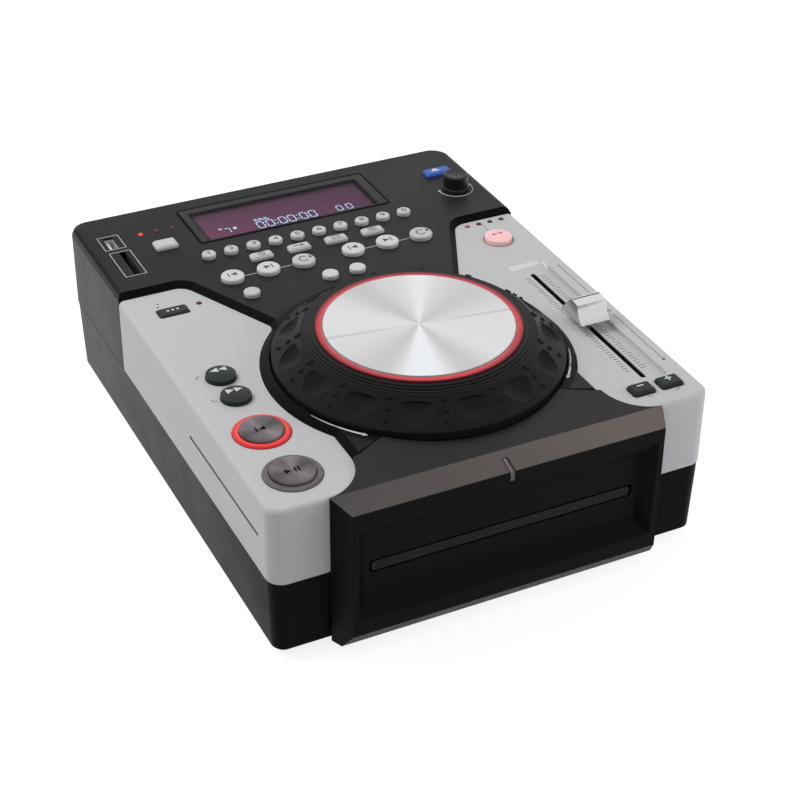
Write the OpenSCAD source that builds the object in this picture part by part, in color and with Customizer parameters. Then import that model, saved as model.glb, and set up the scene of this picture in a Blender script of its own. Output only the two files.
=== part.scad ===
// Tabletop DJ CD player with a front-loading disc tray.
// Millimetres, +Z up, front towards -Y, feet standing on z = 0.
// Inside each module y = 0 is the front face of the body; in_frame() then centres the whole.

/* [Case] */
// Width of the body
body_w = 230; // [215:1:250]
// Depth of the body without the fascia
body_d = 287; // [280:1:310]
// Height of the black lower case
lower_h = 41; // [40:1:46]
// Height from the case bottom to the top of the silver panels
panel_h = 82.3; // [81:0.5:90]
// Height of the black deck above the silver panels
deck_rise = 3.2; // [2.5:0.1:4.5]
// Wall of the mouldings
wall = 2.5; // [2:0.1:3]
// Thickness of the deck plate
deck_t = 4; // [3.5:0.1:5]
// Width of the bevel round the deck
bevel_w = 3.2; // [2:0.1:4.5]
// Vertical corner radius at the front
front_r = 8; // [6:0.5:10]
// Vertical corner radius at the rear
rear_r = 11; // [8:0.5:14]
// Soft edge along the top of the silver panels
edge_r = 2.5; // [1:0.1:3]
// Inward draft of the lower case over its height
draft = 1.3; // [0.5:0.1:2]
// Foot height
foot_h = 4; // [3:0.5:6]
// Foot diameter
foot_d = 18; // [14:1:22]
// Distance of the feet from the case sides
foot_inset = 27; // [24:1:32]

/* [Panels] */
// Depth of the silver panels from the front
panel_d = 200; // [195:1:205]
// Distance from the middle to the inner edge of a panel's front lobe
lobe_x = 65; // [62:0.5:68]
// Radius of the front lobe
lobe_r = 24.5; // [20:0.5:28]
// Distance from the middle to the rear shoulder of a panel
shoulder_x = 79.4; // [76:0.5:84]
// Lean of the shoulder edge from straight back, in degrees
shoulder_a = 25; // [20:1:30]
// Rounding of the rear shoulder
shoulder_r = 9; // [6:0.5:12]
// Rounding of the pointed tip behind the jog wheel
tip_r = 5.5; // [4:0.5:7]
// How far the line of keys lies inside the middle of a panel's waist
column_in = 2.8; // [2:0.1:3.5]

/* [Jog wheel] */
// Distance of the jog axis from the front
jog_y = 85.5; // [84:0.5:88]
// Radius of the metal plate
plate_r = 47.3; // [44:0.1:48]
// Width of the lit ring
glow_w = 3.5; // [2.5:0.1:4.5]
// Outer radius of the ribbed collar
collar_r = 56.4; // [55:0.1:58]
// Outer radius of the rubber rim
rim_r = 72.2; // [70:0.1:73]
// Height of the metal plate above the deck
jog_h = 17.5; // [16:0.5:20]
// Number of finger dimples
dimples = 15; // [12:1:18]
// Radius of the ball that cuts a dimple
dimple_ball = 17; // [15:0.5:19]
// Depth of a dimple
dimple_deep = 2.7; // [1.5:0.1:3]
// Radius of the largest of the small bumps between the dimples
bump_r = 2.1; // [1.6:0.1:2.3]
// Diameter of the jog spindle
spindle_d = 8; // [6:0.5:10]

/* [Keys] */
// Height of the key caps above the surface
key_rise = 2.2; // [1.5:0.1:3]
// Gap round a key cap
key_gap = 0.35; // [0.3:0.01:0.45]
// Diameter of the number keys
number_d = 7.7; // [7:0.1:8.2]
// Spacing of the number keys
number_pitch = 12.8; // [12:0.1:13.2]
// Diameter of the loop keys
loop_d = 12.5; // [11:0.1:13]
// Diameter of the tap and memory keys
small_d = 8.8; // [8:0.1:9.5]
// Diameter of the domed keys on the panels
dome_d = 14.8; // [13:0.1:15.5]
// Diameter of the cap of the large transport keys
transport_d = 21.5; // [20:0.1:22]
// Outer diameter of the light ring of the large transport keys
halo_d = 27.8; // [27:0.1:29]
// Travel of the small keys
key_travel = 0.8; // [0.5:0.1:1]
// Travel of the large transport keys
transport_travel = 1.5; // [1:0.1:1.6]
// Diameter of the key stems
stem_d = 3; // [2.5:0.1:3.5]
// Running gap round a stem in its switch
stem_gap = 0.25; // [0.2:0.01:0.3]

/* [Fader and knobs] */
// Distance of the fader's middle from the front
fader_y = 82.7; // [81:0.1:84]
// Full travel of the pitch fader
fader_travel = 100; // [90:1:100]
// Width of the fader slot
fader_slot_w = 3; // [2.6:0.1:3.4]
// Width of the fader cap
fader_cap_w = 16.5; // [15:0.1:17.5]
// Length of the fader cap
fader_cap_l = 20.3; // [19:0.1:21.5]
// Height of the fader cap
fader_cap_h = 9.9; // [9:0.1:10.5]
// Gap between the fader cap and the panel
fader_float = 3.1; // [2.6:0.1:4]
// Depth of the shallow recess round the fader
fader_recess = 2; // [1.2:0.1:2.3]
// Diameter of the select knob
knob_d = 13.8; // [12:0.1:15]
// Height of the select knob
knob_h = 9.5; // [8:0.5:12]

/* [Display] */
// Width of the display window
window_w = 113; // [108:0.5:116]
// Depth of the display window
window_d = 40.5; // [38:0.5:42]
// Distance of the window's front edge from the front
window_y = 234; // [232:0.5:236]
// Thickness of the display window
window_t = 2; // [1.5:0.1:2.5]

/* [Fascia] */
// How far the fascia stands out from the body
fascia_out = 12.5; // [11:0.5:14]
// Half width of the fascia where it meets the body
fascia_x = 86.5; // [84:0.5:87]
// Narrowing of each fascia side towards the front
fascia_taper = 5.5; // [4:0.5:7]
// Fall of the bronze strip from the body to the front face
strip_fall = 3.6; // [3:0.1:5]
// Depth of the recess in the fascia
recess_deep = 7; // [6:0.5:8]
// Width of the recess at its mouth
recess_w = 156; // [152:1:160]
// Height of the recess at its mouth
recess_h = 53.7; // [50:0.5:56]
// Narrowing of the recess on each side towards its floor
recess_side = 5.5; // [4:0.5:7]
// Height of the bottom of the recess mouth above the case bottom
recess_z = 17.3; // [15:0.1:19]

/* [Disc tray] */
// Width of the tray
tray_w = 136.6; // [136:0.1:139]
// Thickness of the tray
tray_t = 5.2; // [5:0.1:6]
// Length of the tray
tray_l = 165; // [160:1:170]
// Height of the tray's underside above the case bottom
tray_z = 38.9; // [38.5:0.1:40]
// Gap between the tray and the sides of its slot
tray_gap = 1.3; // [0.8:0.1:1.6]
// How far the tray's front edge lies behind the recess floor
tray_set = 0.4; // [0.3:0.1:1.5]
// Travel of the tray
tray_travel = 138; // [130:1:140]
// Diameter of the disc
disc_d = 120; // [120:1:120]
// Distance of the disc's centre from the front when the tray is in
disc_y = 64; // [63:0.5:66]
// Travel of the laser sled
sled_travel = 33; // [30:1:35]
// Swing of the traverse when it lets the disc down, in degrees
traverse_swing = 5; // [4:0.5:6]

/* [Hidden] */
$fn = 96;
hull_fn = 48;
eps = 0.01;
far = 400;
body_gap = 0.2;      // joint line between neighbouring mouldings
run_gap = 0.3;       // clearance between moving neighbours
shaft_gap = 0.1;     // radial clearance of a shaft in its bore
base_z = foot_h;
part_z = foot_h + lower_h;
panel_z = foot_h + panel_h;
deck_z = panel_z + deck_rise;
deck_under = deck_z - deck_t;
panel_under = panel_z - wall;
floor_z = base_z + wall;
half_w = body_w / 2;
case_inset = 0.4;    // the lower case stands a little inside the upper mouldings

// rear sockets
rca_len = 8.5;
rca_d = 8.3;
rca_wall_gap = 0.1;
rca_x = [30, 46, 62];
minijack_x = 12;
socket_z = 26;
rear_face_y = body_d - case_inset - draft / 2;
rear_inner_y = body_d - case_inset - draft - wall - run_gap;
inlet_x = -72;
inlet_w = 27;
inlet_h = 20;
inlet_deep = 19;
inlet_cavity_w = 24;
inlet_cavity_h = 16.5;
inlet_cavity_deep = 17;
inlet_pin_l = 12;
rocker_x = -36;
rocker_w = 13;
rocker_h = 19;
rocker_deep = 12;
rocker_swing = 8;
lamp_proud = 0.2;
front_reach = fascia_out + lamp_proud;
rear_reach = body_d + rca_len;
socket_lip = 1;
mid_y = (rear_reach - front_reach) / 2;

// panel outline
jog_clear = 0.9;                       // open gap round the rubber rim
well_r = rim_r + jog_clear;
deck_ring_r = well_r + 4.9;            // where deck and panels meet round the wheel
column_x = (deck_ring_r + half_w) / 2 - column_in;
bevel_over = 1;
side_groove = 1.5;                     // groove along the left side
side_groove_l = 85.4;
side_groove_y = 57.6;
function edge_n() = [-cos(shoulder_a), sin(shoulder_a)];
function edge_t() = [-sin(shoulder_a), -cos(shoulder_a)];
edge_c = edge_n() * [shoulder_x, panel_d];
jog_c = [0, jog_y];
lobe_c = [lobe_x + lobe_r, lobe_r];
shoulder_cy = panel_d - shoulder_r;
shoulder_c = [(sin(shoulder_a) * shoulder_cy - edge_c + shoulder_r) / cos(shoulder_a), shoulder_cy];
tip_a = edge_c - tip_r - edge_n() * jog_c;
tip_b = -sqrt(pow(deck_ring_r + tip_r, 2) - tip_a * tip_a);
tip_c = jog_c + tip_a * edge_n() + tip_b * edge_t();
tip_q = jog_c + (tip_c - jog_c) * deck_ring_r / (deck_ring_r + tip_r);

// seam between deck and fascia
seam_in_x = 46.5;
seam_in_y = jog_y - sqrt(well_r * well_r - seam_in_x * seam_in_x);
seam_out_x = 74;
seam_out_y = 17;

// deck keys: [name, x, y]
number_y = 219.6;
number_x0 = -4.5 * number_pitch;
bar_y = 207.2;
bar_pitch = 21.7;
bar_w = 12.4;
bar_l = 6.2;
bar_r = 1.2;
loop_y = 192.6;
loop_pitch = 20.2;
loop_x = 14.4;
small_y = 173.4;
tap_x = -51.8;
memory_x = [-7.6, 8];
usb_x = 15 - half_w;
usb_y = 254.8;
usb_w = 5.6;
usb_l = 12.6;
card_x = 17.1 - half_w;
card_y = 230.9;
card_w = 3.4;
card_l = 25;
source_x = (card_x - window_w / 2) / 2 + 2.8;
source_y = 240.5;
source_w = 12.4;
source_l = 9;
eject_x = half_w - 18.3;
eject_y = 255.3;
eject_w = 16;
eject_l = 7.6;
knob_x = half_w - 17.6;
knob_y = 233.9;
key_round = 1;           // rounding of a cap's top edge
flange_t = 1.2;
flange_out = 1;
flange_gap = 0.3;

// panel keys
mode_x = 0.7 - column_x;
mode_y = 179.3;
mode_w = 16;
mode_l = 8.2;
search_y = [111.4, 91.8];
cue_y = 60;
play_y = 23.8;
pitch_key_y = 176.1;
step_key_x = [column_x - 9.4, column_x + 6.3];
step_key_y = 15.2;
step_key_w = 12;
step_key_l = 8.6;
dome_rise = 3;
halo_rise = 1;
halo_w = 2.8;
halo_flange_t = 1;
transport_rise = 2.6;

// fader
fader_x = column_x;
fader_slot_l = fader_travel + 11.5;
fader_body_w = 10;
fader_body_l = fader_slot_l + 11;
fader_stem_w = 1.6;
fader_stem_l = 8;
fader_recess_w = 21;
fader_recess_l = 125;
fader_recess_r = 2.5;
fader_under = 1.4;           // extra thickness of the panel below the recess
fader_recess_y = fader_y + 1.8;

// boards
board_drop = 13.5;
board_t = 1.6;
board_z = deck_z - board_drop;
board_case_gap = 1.5;
switch_w = 6;
switch_h = 3.4;
stem_end_z = board_z + transport_travel + run_gap;
side_board_x = 79;
deck_board_gap = 5.4;                   // from the jog wheel's well to the board behind it
module_in = 4.5;                        // display module, inside the window on either side
module_lap = 2.5;

// jog
jog_z = deck_z + jog_h;
well_floor_z = deck_z - 7;
well_floor_t = 2.2;
bearing_flange_t = 2;
bearing_flange_r = 15;
nut_h = 4;
rim_bottom_z = well_floor_z + 1.5;
hub_z = well_floor_z + bearing_flange_t + run_gap;
hub_r = 9;
web_z = jog_z - 7;
web_t = 2.2;
rim_wall = 3;
plate_t = 1.6;
glow_drop = 0.5;
collar_z = jog_z - 2.8;
rim_shoulder_z = deck_z + 2.6;
glow_r = plate_r + glow_w;

// drive
tray_z0 = base_z + tray_z;
tray_front = fascia_recess_y() + tray_set;
slot_z0 = tray_z0 - 0.6;
slot_h = tray_t + 1.9;
slot_r = 2;
tray_r = 1.5;
chassis_gap = 0.4;
chassis_wall = 3;
chassis_x = tray_w / 2 + chassis_gap + chassis_wall;
chassis_y0 = 5;
chassis_y1 = tray_front + tray_l + 19.5;
chassis_z0 = base_z + 20;
chassis_floor_t = 2.5;
runner_l = 10;
runner_in = 5;                          // reach of a runner over the tray's edge
runner_places = [for (f = [0.02, 0.35, 0.67, 0.93]) chassis_y0 + f * (chassis_y1 - chassis_y0 - runner_l)];
bridge_z = tray_z0 + 13;
bridge_t = 2;
bridge_w = 44;
traverse_z = tray_z0 - 10;
traverse_t = 1.5;
traverse_x = 27;
traverse_y0 = disc_y - 22;
hinge_y = disc_y + 72;
hinge_d = 3;
rod_d = 3;
rod_x = 17;
rod_z = traverse_z + 5.2;
sled_l = 10;
sled_y0 = disc_y + 20;
turntable_d = 28;
disc_well = 1.8;
turntable_z = tray_z0 + tray_t - disc_well + 0.6;
motor_d = 22;
shaft_d = 2;
pulley_r = 11;
loading_motor_d = 20;
window_half = 22;
gear_module = 1;
gear_teeth = 16;
gear_r = gear_module * gear_teeth / 2;
gear_tip = 0.7 * gear_module;          // height of a tooth above its pitch line
gear_root = 1.1 * gear_module;         // depth of a tooth space below it
tooth_half = 0.62 * gear_module;       // half of a tooth at the pitch line, less than pitch / 4 for backlash
tooth_slope = tan(20);
rack_x = -tray_w / 2 + 8;
gear_x = rack_x + gear_r;
gear_y = 16;
gear_post_d = 4;
rack_deep = 2.4;
gear_face = 1.6;
rack_pitch = PI * gear_module;
rack_y0 = gear_y - 3 * rack_pitch;

function fascia_recess_y() = recess_deep - fascia_out;

// ---------- frame and outlines ----------

module in_frame() {
    translate([0, -mid_y, 0]) children();
}

module case_outline(inset) {
    translate([-half_w + inset, front_r]) square([body_w - 2 * inset, body_d - front_r - rear_r]);
    translate([-half_w + front_r, inset]) square([body_w - 2 * front_r, body_d / 2]);
    translate([-half_w + rear_r, body_d / 2]) square([body_w - 2 * rear_r, body_d / 2 - inset]);
    for (s = [-1, 1]) {
        translate([s * (half_w - front_r), front_r]) circle(front_r - inset);
        translate([s * (half_w - rear_r), body_d - rear_r]) circle(rear_r - inset);
    }
}

// one level of a hull of the case, at height z
module case_slice(z, inset) {
    translate([0, 0, z]) linear_extrude(eps) case_outline(inset, $fn = hull_fn);
}

// region of the right-hand silver panel, grown by g
module panel_region(g) {
    difference() {
        union() {
            polygon([[far, -g], [lobe_c.x, -g], lobe_c, [lobe_x - g, lobe_c.y], [lobe_x - g, jog_y],
                tip_q, tip_c, tip_c + (tip_r + g) * edge_n(), shoulder_c + (shoulder_r + g) * edge_n(),
                shoulder_c, [shoulder_c.x, panel_d + g], [far, panel_d + g]]);
            translate(lobe_c) circle(lobe_r + g);
            translate(tip_c) circle(tip_r + g);
            translate(shoulder_c) circle(shoulder_r + g);
        }
        translate(jog_c) circle(deck_ring_r - g);
    }
}

module both_panels(g) {
    panel_region(g);
    mirror([1, 0]) panel_region(g);
}

// region that the fascia covers on top
module fascia_region(g) {
    difference() {
        polygon([[-far, -far], [far, -far], [far, seam_out_y + g], [seam_out_x, seam_out_y + g],
            [seam_in_x, seam_in_y + g], [seam_in_x, jog_y], [-seam_in_x, jog_y],
            [-seam_in_x, seam_in_y + g], [-seam_out_x, seam_out_y + g], [-far, seam_out_y + g]]);
        translate(jog_c) circle(well_r - g);
    }
}

module bar_outline(w, l, r) {
    square([w - 2 * r, l], center = true);
    square([w, l - 2 * r], center = true);
    for (x = [-1, 1], y = [-1, 1]) {
        translate([x * (w / 2 - r), y * (l / 2 - r)]) circle(r, $fn = 32);
    }
}

// ---------- keys ----------

// round cap with a soft top edge, turned about z
module round_cap(d, z0, z1, r) {
    rotate_extrude() {
        square_to(d / 2 - r, z0, z1);
        square_to(d / 2, z0, z1 - r);
        translate([d / 2 - r, z1 - r]) circle(r, $fn = 32);
    }
}

// rectangle from the axis to radius x, between two heights
module square_to(x, z0, z1) {
    translate([0, z0]) square([x, z1 - z0]);
}

// flange under the surface and stem into the switch
module key_foot(z, d) {
    translate([0, 0, z - flange_gap - flange_t]) cylinder(d = d, h = flange_t);
    translate([0, 0, stem_end_z]) cylinder(d = stem_d, h = z - stem_end_z - flange_gap - flange_t + eps);
}

module round_key(x, y, d, surface, under, rise) {
    in_frame() translate([x, y, 0]) {
        round_cap(d, under - flange_gap - eps, surface + rise, key_round);
        key_foot(under, d + 2 * flange_out);
    }
}

module bar_key(x, y, w, l, surface, under, rise) {
    in_frame() translate([x, y, 0]) {
        translate([0, 0, under - flange_gap - eps])
            linear_extrude(surface + rise - under + flange_gap - key_round + eps) bar_outline(w, l, bar_r);
        hull() {
            translate([0, 0, surface + rise - key_round - eps]) linear_extrude(eps) bar_outline(w, l, bar_r);
            translate([0, 0, surface + rise - eps])
                linear_extrude(eps) bar_outline(w - 2 * key_round, l - 2 * key_round, bar_r - key_round / 2);
        }
        translate([0, 0, under - flange_gap - flange_t])
            linear_extrude(flange_t) bar_outline(w + 2 * flange_out, l + 2 * flange_out, bar_r + flange_out);
        key_foot(under, stem_d);
    }
}

// domed cap: a slice of a large ball on a short cylinder
module dome_key(x, y) {
    dome_ball = (dome_d * dome_d / 4 + dome_rise * dome_rise / 4) / dome_rise;
    in_frame() translate([x, y, 0]) {
        intersection() {
            translate([0, 0, panel_under - flange_gap - eps])
                cylinder(d = dome_d, h = panel_z + dome_rise - panel_under + flange_gap + 1);
            translate([0, 0, panel_z + dome_rise - 2 * dome_ball]) sphere(2 * dome_ball);
        }
        key_foot(panel_under, dome_d + 2 * flange_out);
    }
}

module transport_key(y) {
    in_frame() translate([-column_x, y, 0]) {
        difference() {
            round_cap(transport_d, panel_under - halo_flange_t - flange_gap - eps, panel_z + transport_rise, 1);
            translate([0, 0, panel_z + transport_rise - 0.5 + 60]) sphere(60);
        }
        key_foot(panel_under - halo_flange_t, halo_d - 2 * halo_w + 2 * flange_out);
    }
}

module number_key(i) {
    color("gainsboro")
        round_key(number_x0 + i * number_pitch, number_y, number_d, deck_z, deck_under, key_rise);
}

module bar_key_at(i) {
    color("gainsboro")
        bar_key((i - 1.5) * bar_pitch, bar_y, bar_w, bar_l, deck_z, deck_under, key_rise);
}

module loop_key(bank, i) {
    x = bank == 0 ? -loop_x - (2 - i) * loop_pitch : loop_x + i * loop_pitch;
    color("gainsboro") round_key(x, loop_y, loop_d, deck_z, deck_under, key_rise);
}

module small_key(x) {
    color("gainsboro") round_key(x, small_y, small_d, deck_z, deck_under, key_rise);
}

module source_key() {
    color("gainsboro")
        bar_key(source_x, source_y, source_w, source_l, deck_z, deck_under, key_rise);
}

module eject_key() {
    color("royalblue")
        bar_key(eject_x, eject_y, eject_w, eject_l, deck_z, deck_under, key_rise);
}

module mode_key() {
    color("darkslategray")
        bar_key(mode_x, mode_y, mode_w, mode_l, panel_z, panel_under, key_round);
}

module step_key(i) {
    color("darkslategray")
        bar_key(step_key_x[i], step_key_y, step_key_w, step_key_l, panel_z, panel_under, key_rise);
}

module search_key(i) {
    color("darkslategray") dome_key(-column_x, search_y[i]);
}

module pitch_key() {
    color("pink") dome_key(column_x, pitch_key_y);
}

// holes for the keys, cut through the plate between two heights
module cut_round(x, y, d, z0, z1) {
    translate([x, y, z0]) cylinder(d = d + 2 * key_gap, h = z1 - z0);
}

module cut_bar(x, y, w, l, z0, z1) {
    translate([x, y, z0])
        linear_extrude(z1 - z0) bar_outline(w + 2 * key_gap, l + 2 * key_gap, bar_r + key_gap);
}

function loop_key_x() = [for (s = [-1, 1], i = [0:2]) s * (loop_x + i * loop_pitch)];
function deck_round_keys() = concat(
    [for (i = [0:9]) [number_x0 + i * number_pitch, number_y, number_d]],
    [for (x = loop_key_x()) [x, loop_y, loop_d]],
    [for (x = concat([tap_x], memory_x)) [x, small_y, small_d]]);
function deck_bar_keys() = concat(
    [for (i = [0:3]) [(i - 1.5) * bar_pitch, bar_y, bar_w, bar_l]],
    [[source_x, source_y, source_w, source_l], [eject_x, eject_y, eject_w, eject_l]]);
function left_keys() = [[mode_x, mode_y], [-column_x, search_y[0]], [-column_x, search_y[1]],
    [-column_x, cue_y], [-column_x, play_y]];
function right_keys() = [[column_x, pitch_key_y], [step_key_x[0], step_key_y], [step_key_x[1], step_key_y]];

// ---------- lamps: [x, y] ----------
lamp_d = 3;
deck_lamps = [for (i = [-1:1]) [source_x + 1 + 9 * i, source_y + 17.3]];
lamp_x0 = shoulder_x + 5.9;            // the right row runs from the shoulder to the side
lamp_x1 = half_w - 8.7;
right_lamps = [for (i = [0:3]) [lamp_x0 + i * (lamp_x1 - lamp_x0) / 3, panel_d - 4]];
left_lamps = [[mode_x + 15, mode_y + 2.3]];
tray_lamp_w = 2.2;
tray_lamp_x = -1;
tray_lamp_y = -4.75;
tray_lamp_drop = 5;
tray_lamp_t = 1.6;
tray_lamp_gap = 0.5;

// ---------- case ----------

screw_y = [42, 150, body_d - 15];
screw_in = [8.5, 12, 10];              // distance of each pair from the case sides
screw_places = [for (s = [-1, 1], i = [0:2]) [s * (half_w - screw_in[i]), screw_y[i]]];
screw_d = 3;
screw_head_d = 6;
screw_l = 20;
boss_d = 9;
upper_boss_d = 7.5;
screw_seat_z = part_z - 11;
foot_places = [for (x = [-1, 1], y = [foot_inset, body_d - foot_inset]) [x * (half_w - foot_inset), y]];
drive_posts = [for (x = [-1, 1], y = [22, chassis_y1 - 11.9]) [x * (chassis_x + 6), y]];
drive_post_d = 9;
main_board_y0 = 196;
main_board_z = floor_z + 5.5;
main_board_w = body_w - 34;
main_board_l = rear_inner_y - 1 - main_board_y0;
standoffs = [for (x = [-half_w + 25, 0, half_w - 25], y = [main_board_y0 + 6, main_board_y0 + main_board_l - 20]) [x, y]];
board_post_d = 5;
rib_places = [main_board_y0 - 8, jog_y + 14.5];
rib_in = 12;
rib_t = 2;
rib_h = 3;
// supply and processor on the main board, as [width, depth, height]
transformer = [44, 38, 34];
capacitor_d = 12;
capacitor_h = 22;
fin_gap = 4;
heat_sink = [4 * fin_gap + 1.5, 22, 20];
fin_t = 1.5;
processor = [18, 18, 2];
memory = [12, 20, 1.5];
deck_posts = [for (s = [-1, 1], p = [[30, 172], [half_w - 29, 212], [window_w / 2 + 9.5, window_y + 38]])
    [s * p.x, p.y]];
left_posts = [[-column_x, 135], [9.2 - column_x, (cue_y + play_y) / 2]];
right_posts = [for (y = [fader_y - 40, fader_y + 48]) [column_x - 10.2, y]];

module bottom_case() {
    color([0.1, 0.1, 0.1]) in_frame() difference() {
        union() {
            difference() {
                hull() {
                    case_slice(part_z - body_gap - eps, case_inset);
                    case_slice(base_z + 1.5, case_inset + draft);
                    case_slice(base_z, case_inset + draft + 1.5);
                }
                hull() {
                    case_slice(part_z, case_inset + wall);
                    case_slice(floor_z, case_inset + draft + wall);
                }
            }
            for (p = screw_places) {
                translate([p.x, p.y, floor_z - eps]) cylinder(d = boss_d, h = part_z - body_gap - floor_z);
            }
            for (p = drive_posts) {
                translate([p.x, p.y, floor_z - eps]) cylinder(d = drive_post_d, h = chassis_z0 - floor_z);
            }
            for (p = standoffs) {
                translate([p.x, p.y, floor_z - eps]) cylinder(d = 6, h = main_board_z - floor_z);
            }
            for (y = rib_places) {
                translate([rib_in - half_w, y, floor_z - eps]) cube([body_w - 2 * rib_in, rib_t, rib_h]);
            }
        }
        // opening for the drive behind the fascia
        translate([-recess_w / 2, -eps, tray_z0 - 12]) cube([recess_w, 8, part_z]);
        for (p = screw_places) {
            translate([p.x, p.y, 0]) cylinder(d = screw_d + 0.4, h = part_z);
            translate([p.x, p.y, 0]) cylinder(d = screw_head_d + 0.6, h = screw_seat_z);
        }
        rear_cutouts();
    }
}

// holes in the rear wall
module rear_cutouts() {
    for (x = rca_x) {
        rear_hole(x, rca_d + 2 * rca_wall_gap);
    }
    rear_hole(minijack_x, 6 + 2 * rca_wall_gap);
    translate([inlet_x, body_d, socket_z]) cube([inlet_w + 0.4, 20, inlet_h + 0.4], center = true);
    translate([rocker_x, body_d, socket_z]) cube([rocker_w + 3.4, 20, rocker_h + 3.4], center = true);
}

module rear_hole(x, d) {
    translate([x, body_d - 10, socket_z]) rotate([-90, 0, 0]) cylinder(d = d, h = 20);
}

// soft-edged silver block of the full case width
module silver_block() {
    hull() {
        case_slice(part_z, 0);
        for (a = [0:22.5:90]) {
            case_slice(panel_z - edge_r + edge_r * sin(a) - eps, edge_r * (1 - cos(a)));
        }
    }
}

module side_panel(s) {
    difference() {
        union() {
            difference() {
                intersection() {
                    silver_block();
                    linear_extrude(far) mirror([s < 0 ? 1 : 0, 0]) panel_region(0);
                }
                translate([0, 0, part_z - 1]) linear_extrude(panel_under - part_z + 1) case_outline(wall);
            }
            for (p = screw_places) {
                if (p.x * s > 0 && p.y < panel_d) {
                    translate([p.x, p.y, part_z]) cylinder(d = upper_boss_d, h = panel_under - part_z + eps);
                }
            }
            for (p = s < 0 ? left_posts : right_posts) {
                translate([p.x, p.y, board_z]) cylinder(d = board_post_d, h = panel_under - board_z + eps);
            }
            if (s > 0) {
                // the plate is thicker under the fader recess
                translate([fader_x, fader_recess_y, panel_under - fader_under])
                    linear_extrude(fader_under + eps) bar_outline(fader_recess_w + 2, fader_recess_l + 1, 1);
            }
        }
        for (p = screw_places) {
            if (p.x * s > 0 && p.y < panel_d) {
                translate([p.x, p.y, part_z - 1]) cylinder(d = screw_d + 2 * shaft_gap, h = screw_l - 6);
            }
        }
    }
}

module left_side_panel() {
    color([0.8, 0.8, 0.8]) in_frame() difference() {
        side_panel(-1);
        cut_bar(mode_x, mode_y, mode_w, mode_l, panel_under - 1, panel_z + 1);
        for (y = search_y) {
            cut_round(-column_x, y, dome_d, panel_under - 1, panel_z + 1);
        }
        for (y = [cue_y, play_y]) {
            cut_round(-column_x, y, halo_d - 2 * key_gap + 2 * body_gap, panel_under - 1, panel_z + 1);
        }
        lamp_holes(left_lamps, panel_z);
        // groove along the outer side
        translate([-half_w, side_groove_y, base_z + 60.8]) rotate([0, 45, 0])
            cube([side_groove, side_groove_l, side_groove], center = true);
    }
}

module right_side_panel() {
    color([0.8, 0.8, 0.8]) in_frame() difference() {
        side_panel(1);
        cut_round(column_x, pitch_key_y, dome_d, panel_under - 1, panel_z + 1);
        for (x = step_key_x) {
            cut_bar(x, step_key_y, step_key_w, step_key_l, panel_under - 1, panel_z + 1);
        }
        fader_pocket();
        translate([fader_x, fader_y, panel_under - fader_under - 1])
            linear_extrude(far) bar_outline(fader_slot_w, fader_slot_l, fader_slot_w / 2 - 0.1);
        lamp_holes(right_lamps, panel_z);
    }
}

// recess round the fader, with a ramp at its rear end
module fader_pocket() {
    intersection() {
        translate([fader_x, fader_recess_y, panel_under])
            linear_extrude(far) bar_outline(fader_recess_w, fader_recess_l, fader_recess_r);
        translate([fader_x - fader_recess_w, fader_recess_y, 0]) rotate([90, 0, 90])
            linear_extrude(2 * fader_recess_w) polygon([[-fader_recess_l, panel_z - fader_recess],
                [fader_recess_l / 2 - 0.8 * fader_recess, panel_z - fader_recess],
                [fader_recess_l / 2 + eps, panel_z + eps], [fader_recess_l / 2 + eps, far], [-fader_recess_l, far]]);
    }
}

module lamp_holes(list, z) {
    for (p = list) {
        translate([p.x, p.y, z - deck_t - 1]) cylinder(d = lamp_d + 2 * shaft_gap, h = far);
    }
}

// deck: bevelled block, opened for keys, window, sockets and the jog well
module top_deck() {
    color([0.2, 0.2, 0.2]) in_frame() difference() {
        union() {
            difference() {
                deck_block();
                translate([0, 0, part_z - 1]) linear_extrude(deck_under - part_z + 1) case_outline(wall);
            }
            // jog well
            translate([0, jog_y, well_floor_z - well_floor_t]) cylinder(r = well_r + 2.5, h = well_floor_t);
            difference() {
                translate([0, jog_y, well_floor_z - well_floor_t])
                    cylinder(r = well_r + 2.5, h = deck_under - well_floor_z + well_floor_t + eps);
                translate([0, 0, well_floor_z]) linear_extrude(far) fascia_region(body_gap);
            }
            for (p = screw_places) {
                if (p.y > panel_d) {
                    translate([p.x, p.y, part_z]) cylinder(d = upper_boss_d, h = deck_under - part_z + eps);
                }
            }
            for (p = deck_posts) {
                translate([p.x, p.y, board_z]) cylinder(d = board_post_d, h = deck_under - board_z + eps);
            }
        }
        translate([0, jog_y, well_floor_z]) cylinder(r = well_r, h = far);
        translate([0, jog_y, well_floor_z - 5]) cylinder(d = spindle_d + 2 * body_gap, h = far);
        for (p = screw_places) {
            if (p.y > panel_d) {
                translate([p.x, p.y, part_z - 1]) cylinder(d = screw_d + 2 * shaft_gap, h = screw_l - 6);
            }
        }
        for (k = deck_round_keys()) {
            cut_round(k.x, k.y, k.z, deck_under - 1, deck_z + 1);
        }
        for (k = deck_bar_keys()) {
            cut_bar(k.x, k.y, k.z, k[3], deck_under - 1, deck_z + 1);
        }
        translate([knob_x, knob_y, deck_under - 1]) cylinder(d = 7.4, h = far);
        translate([0, window_y + window_d / 2, deck_z - window_t])
            linear_extrude(far) bar_outline(window_w + 2 * body_gap, window_d + 2 * body_gap, 2);
        translate([0, window_y + window_d / 2, deck_under - 1])
            linear_extrude(far) bar_outline(window_w - 5, window_d - 5, 1.5);
        lamp_holes(deck_lamps, deck_z);
        translate([usb_x, usb_y, deck_under - 1]) linear_extrude(far) square([usb_w, usb_l], center = true);
        translate([card_x, card_y, deck_under - 1]) linear_extrude(far) square([card_w, card_l], center = true);
    }
}

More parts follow.
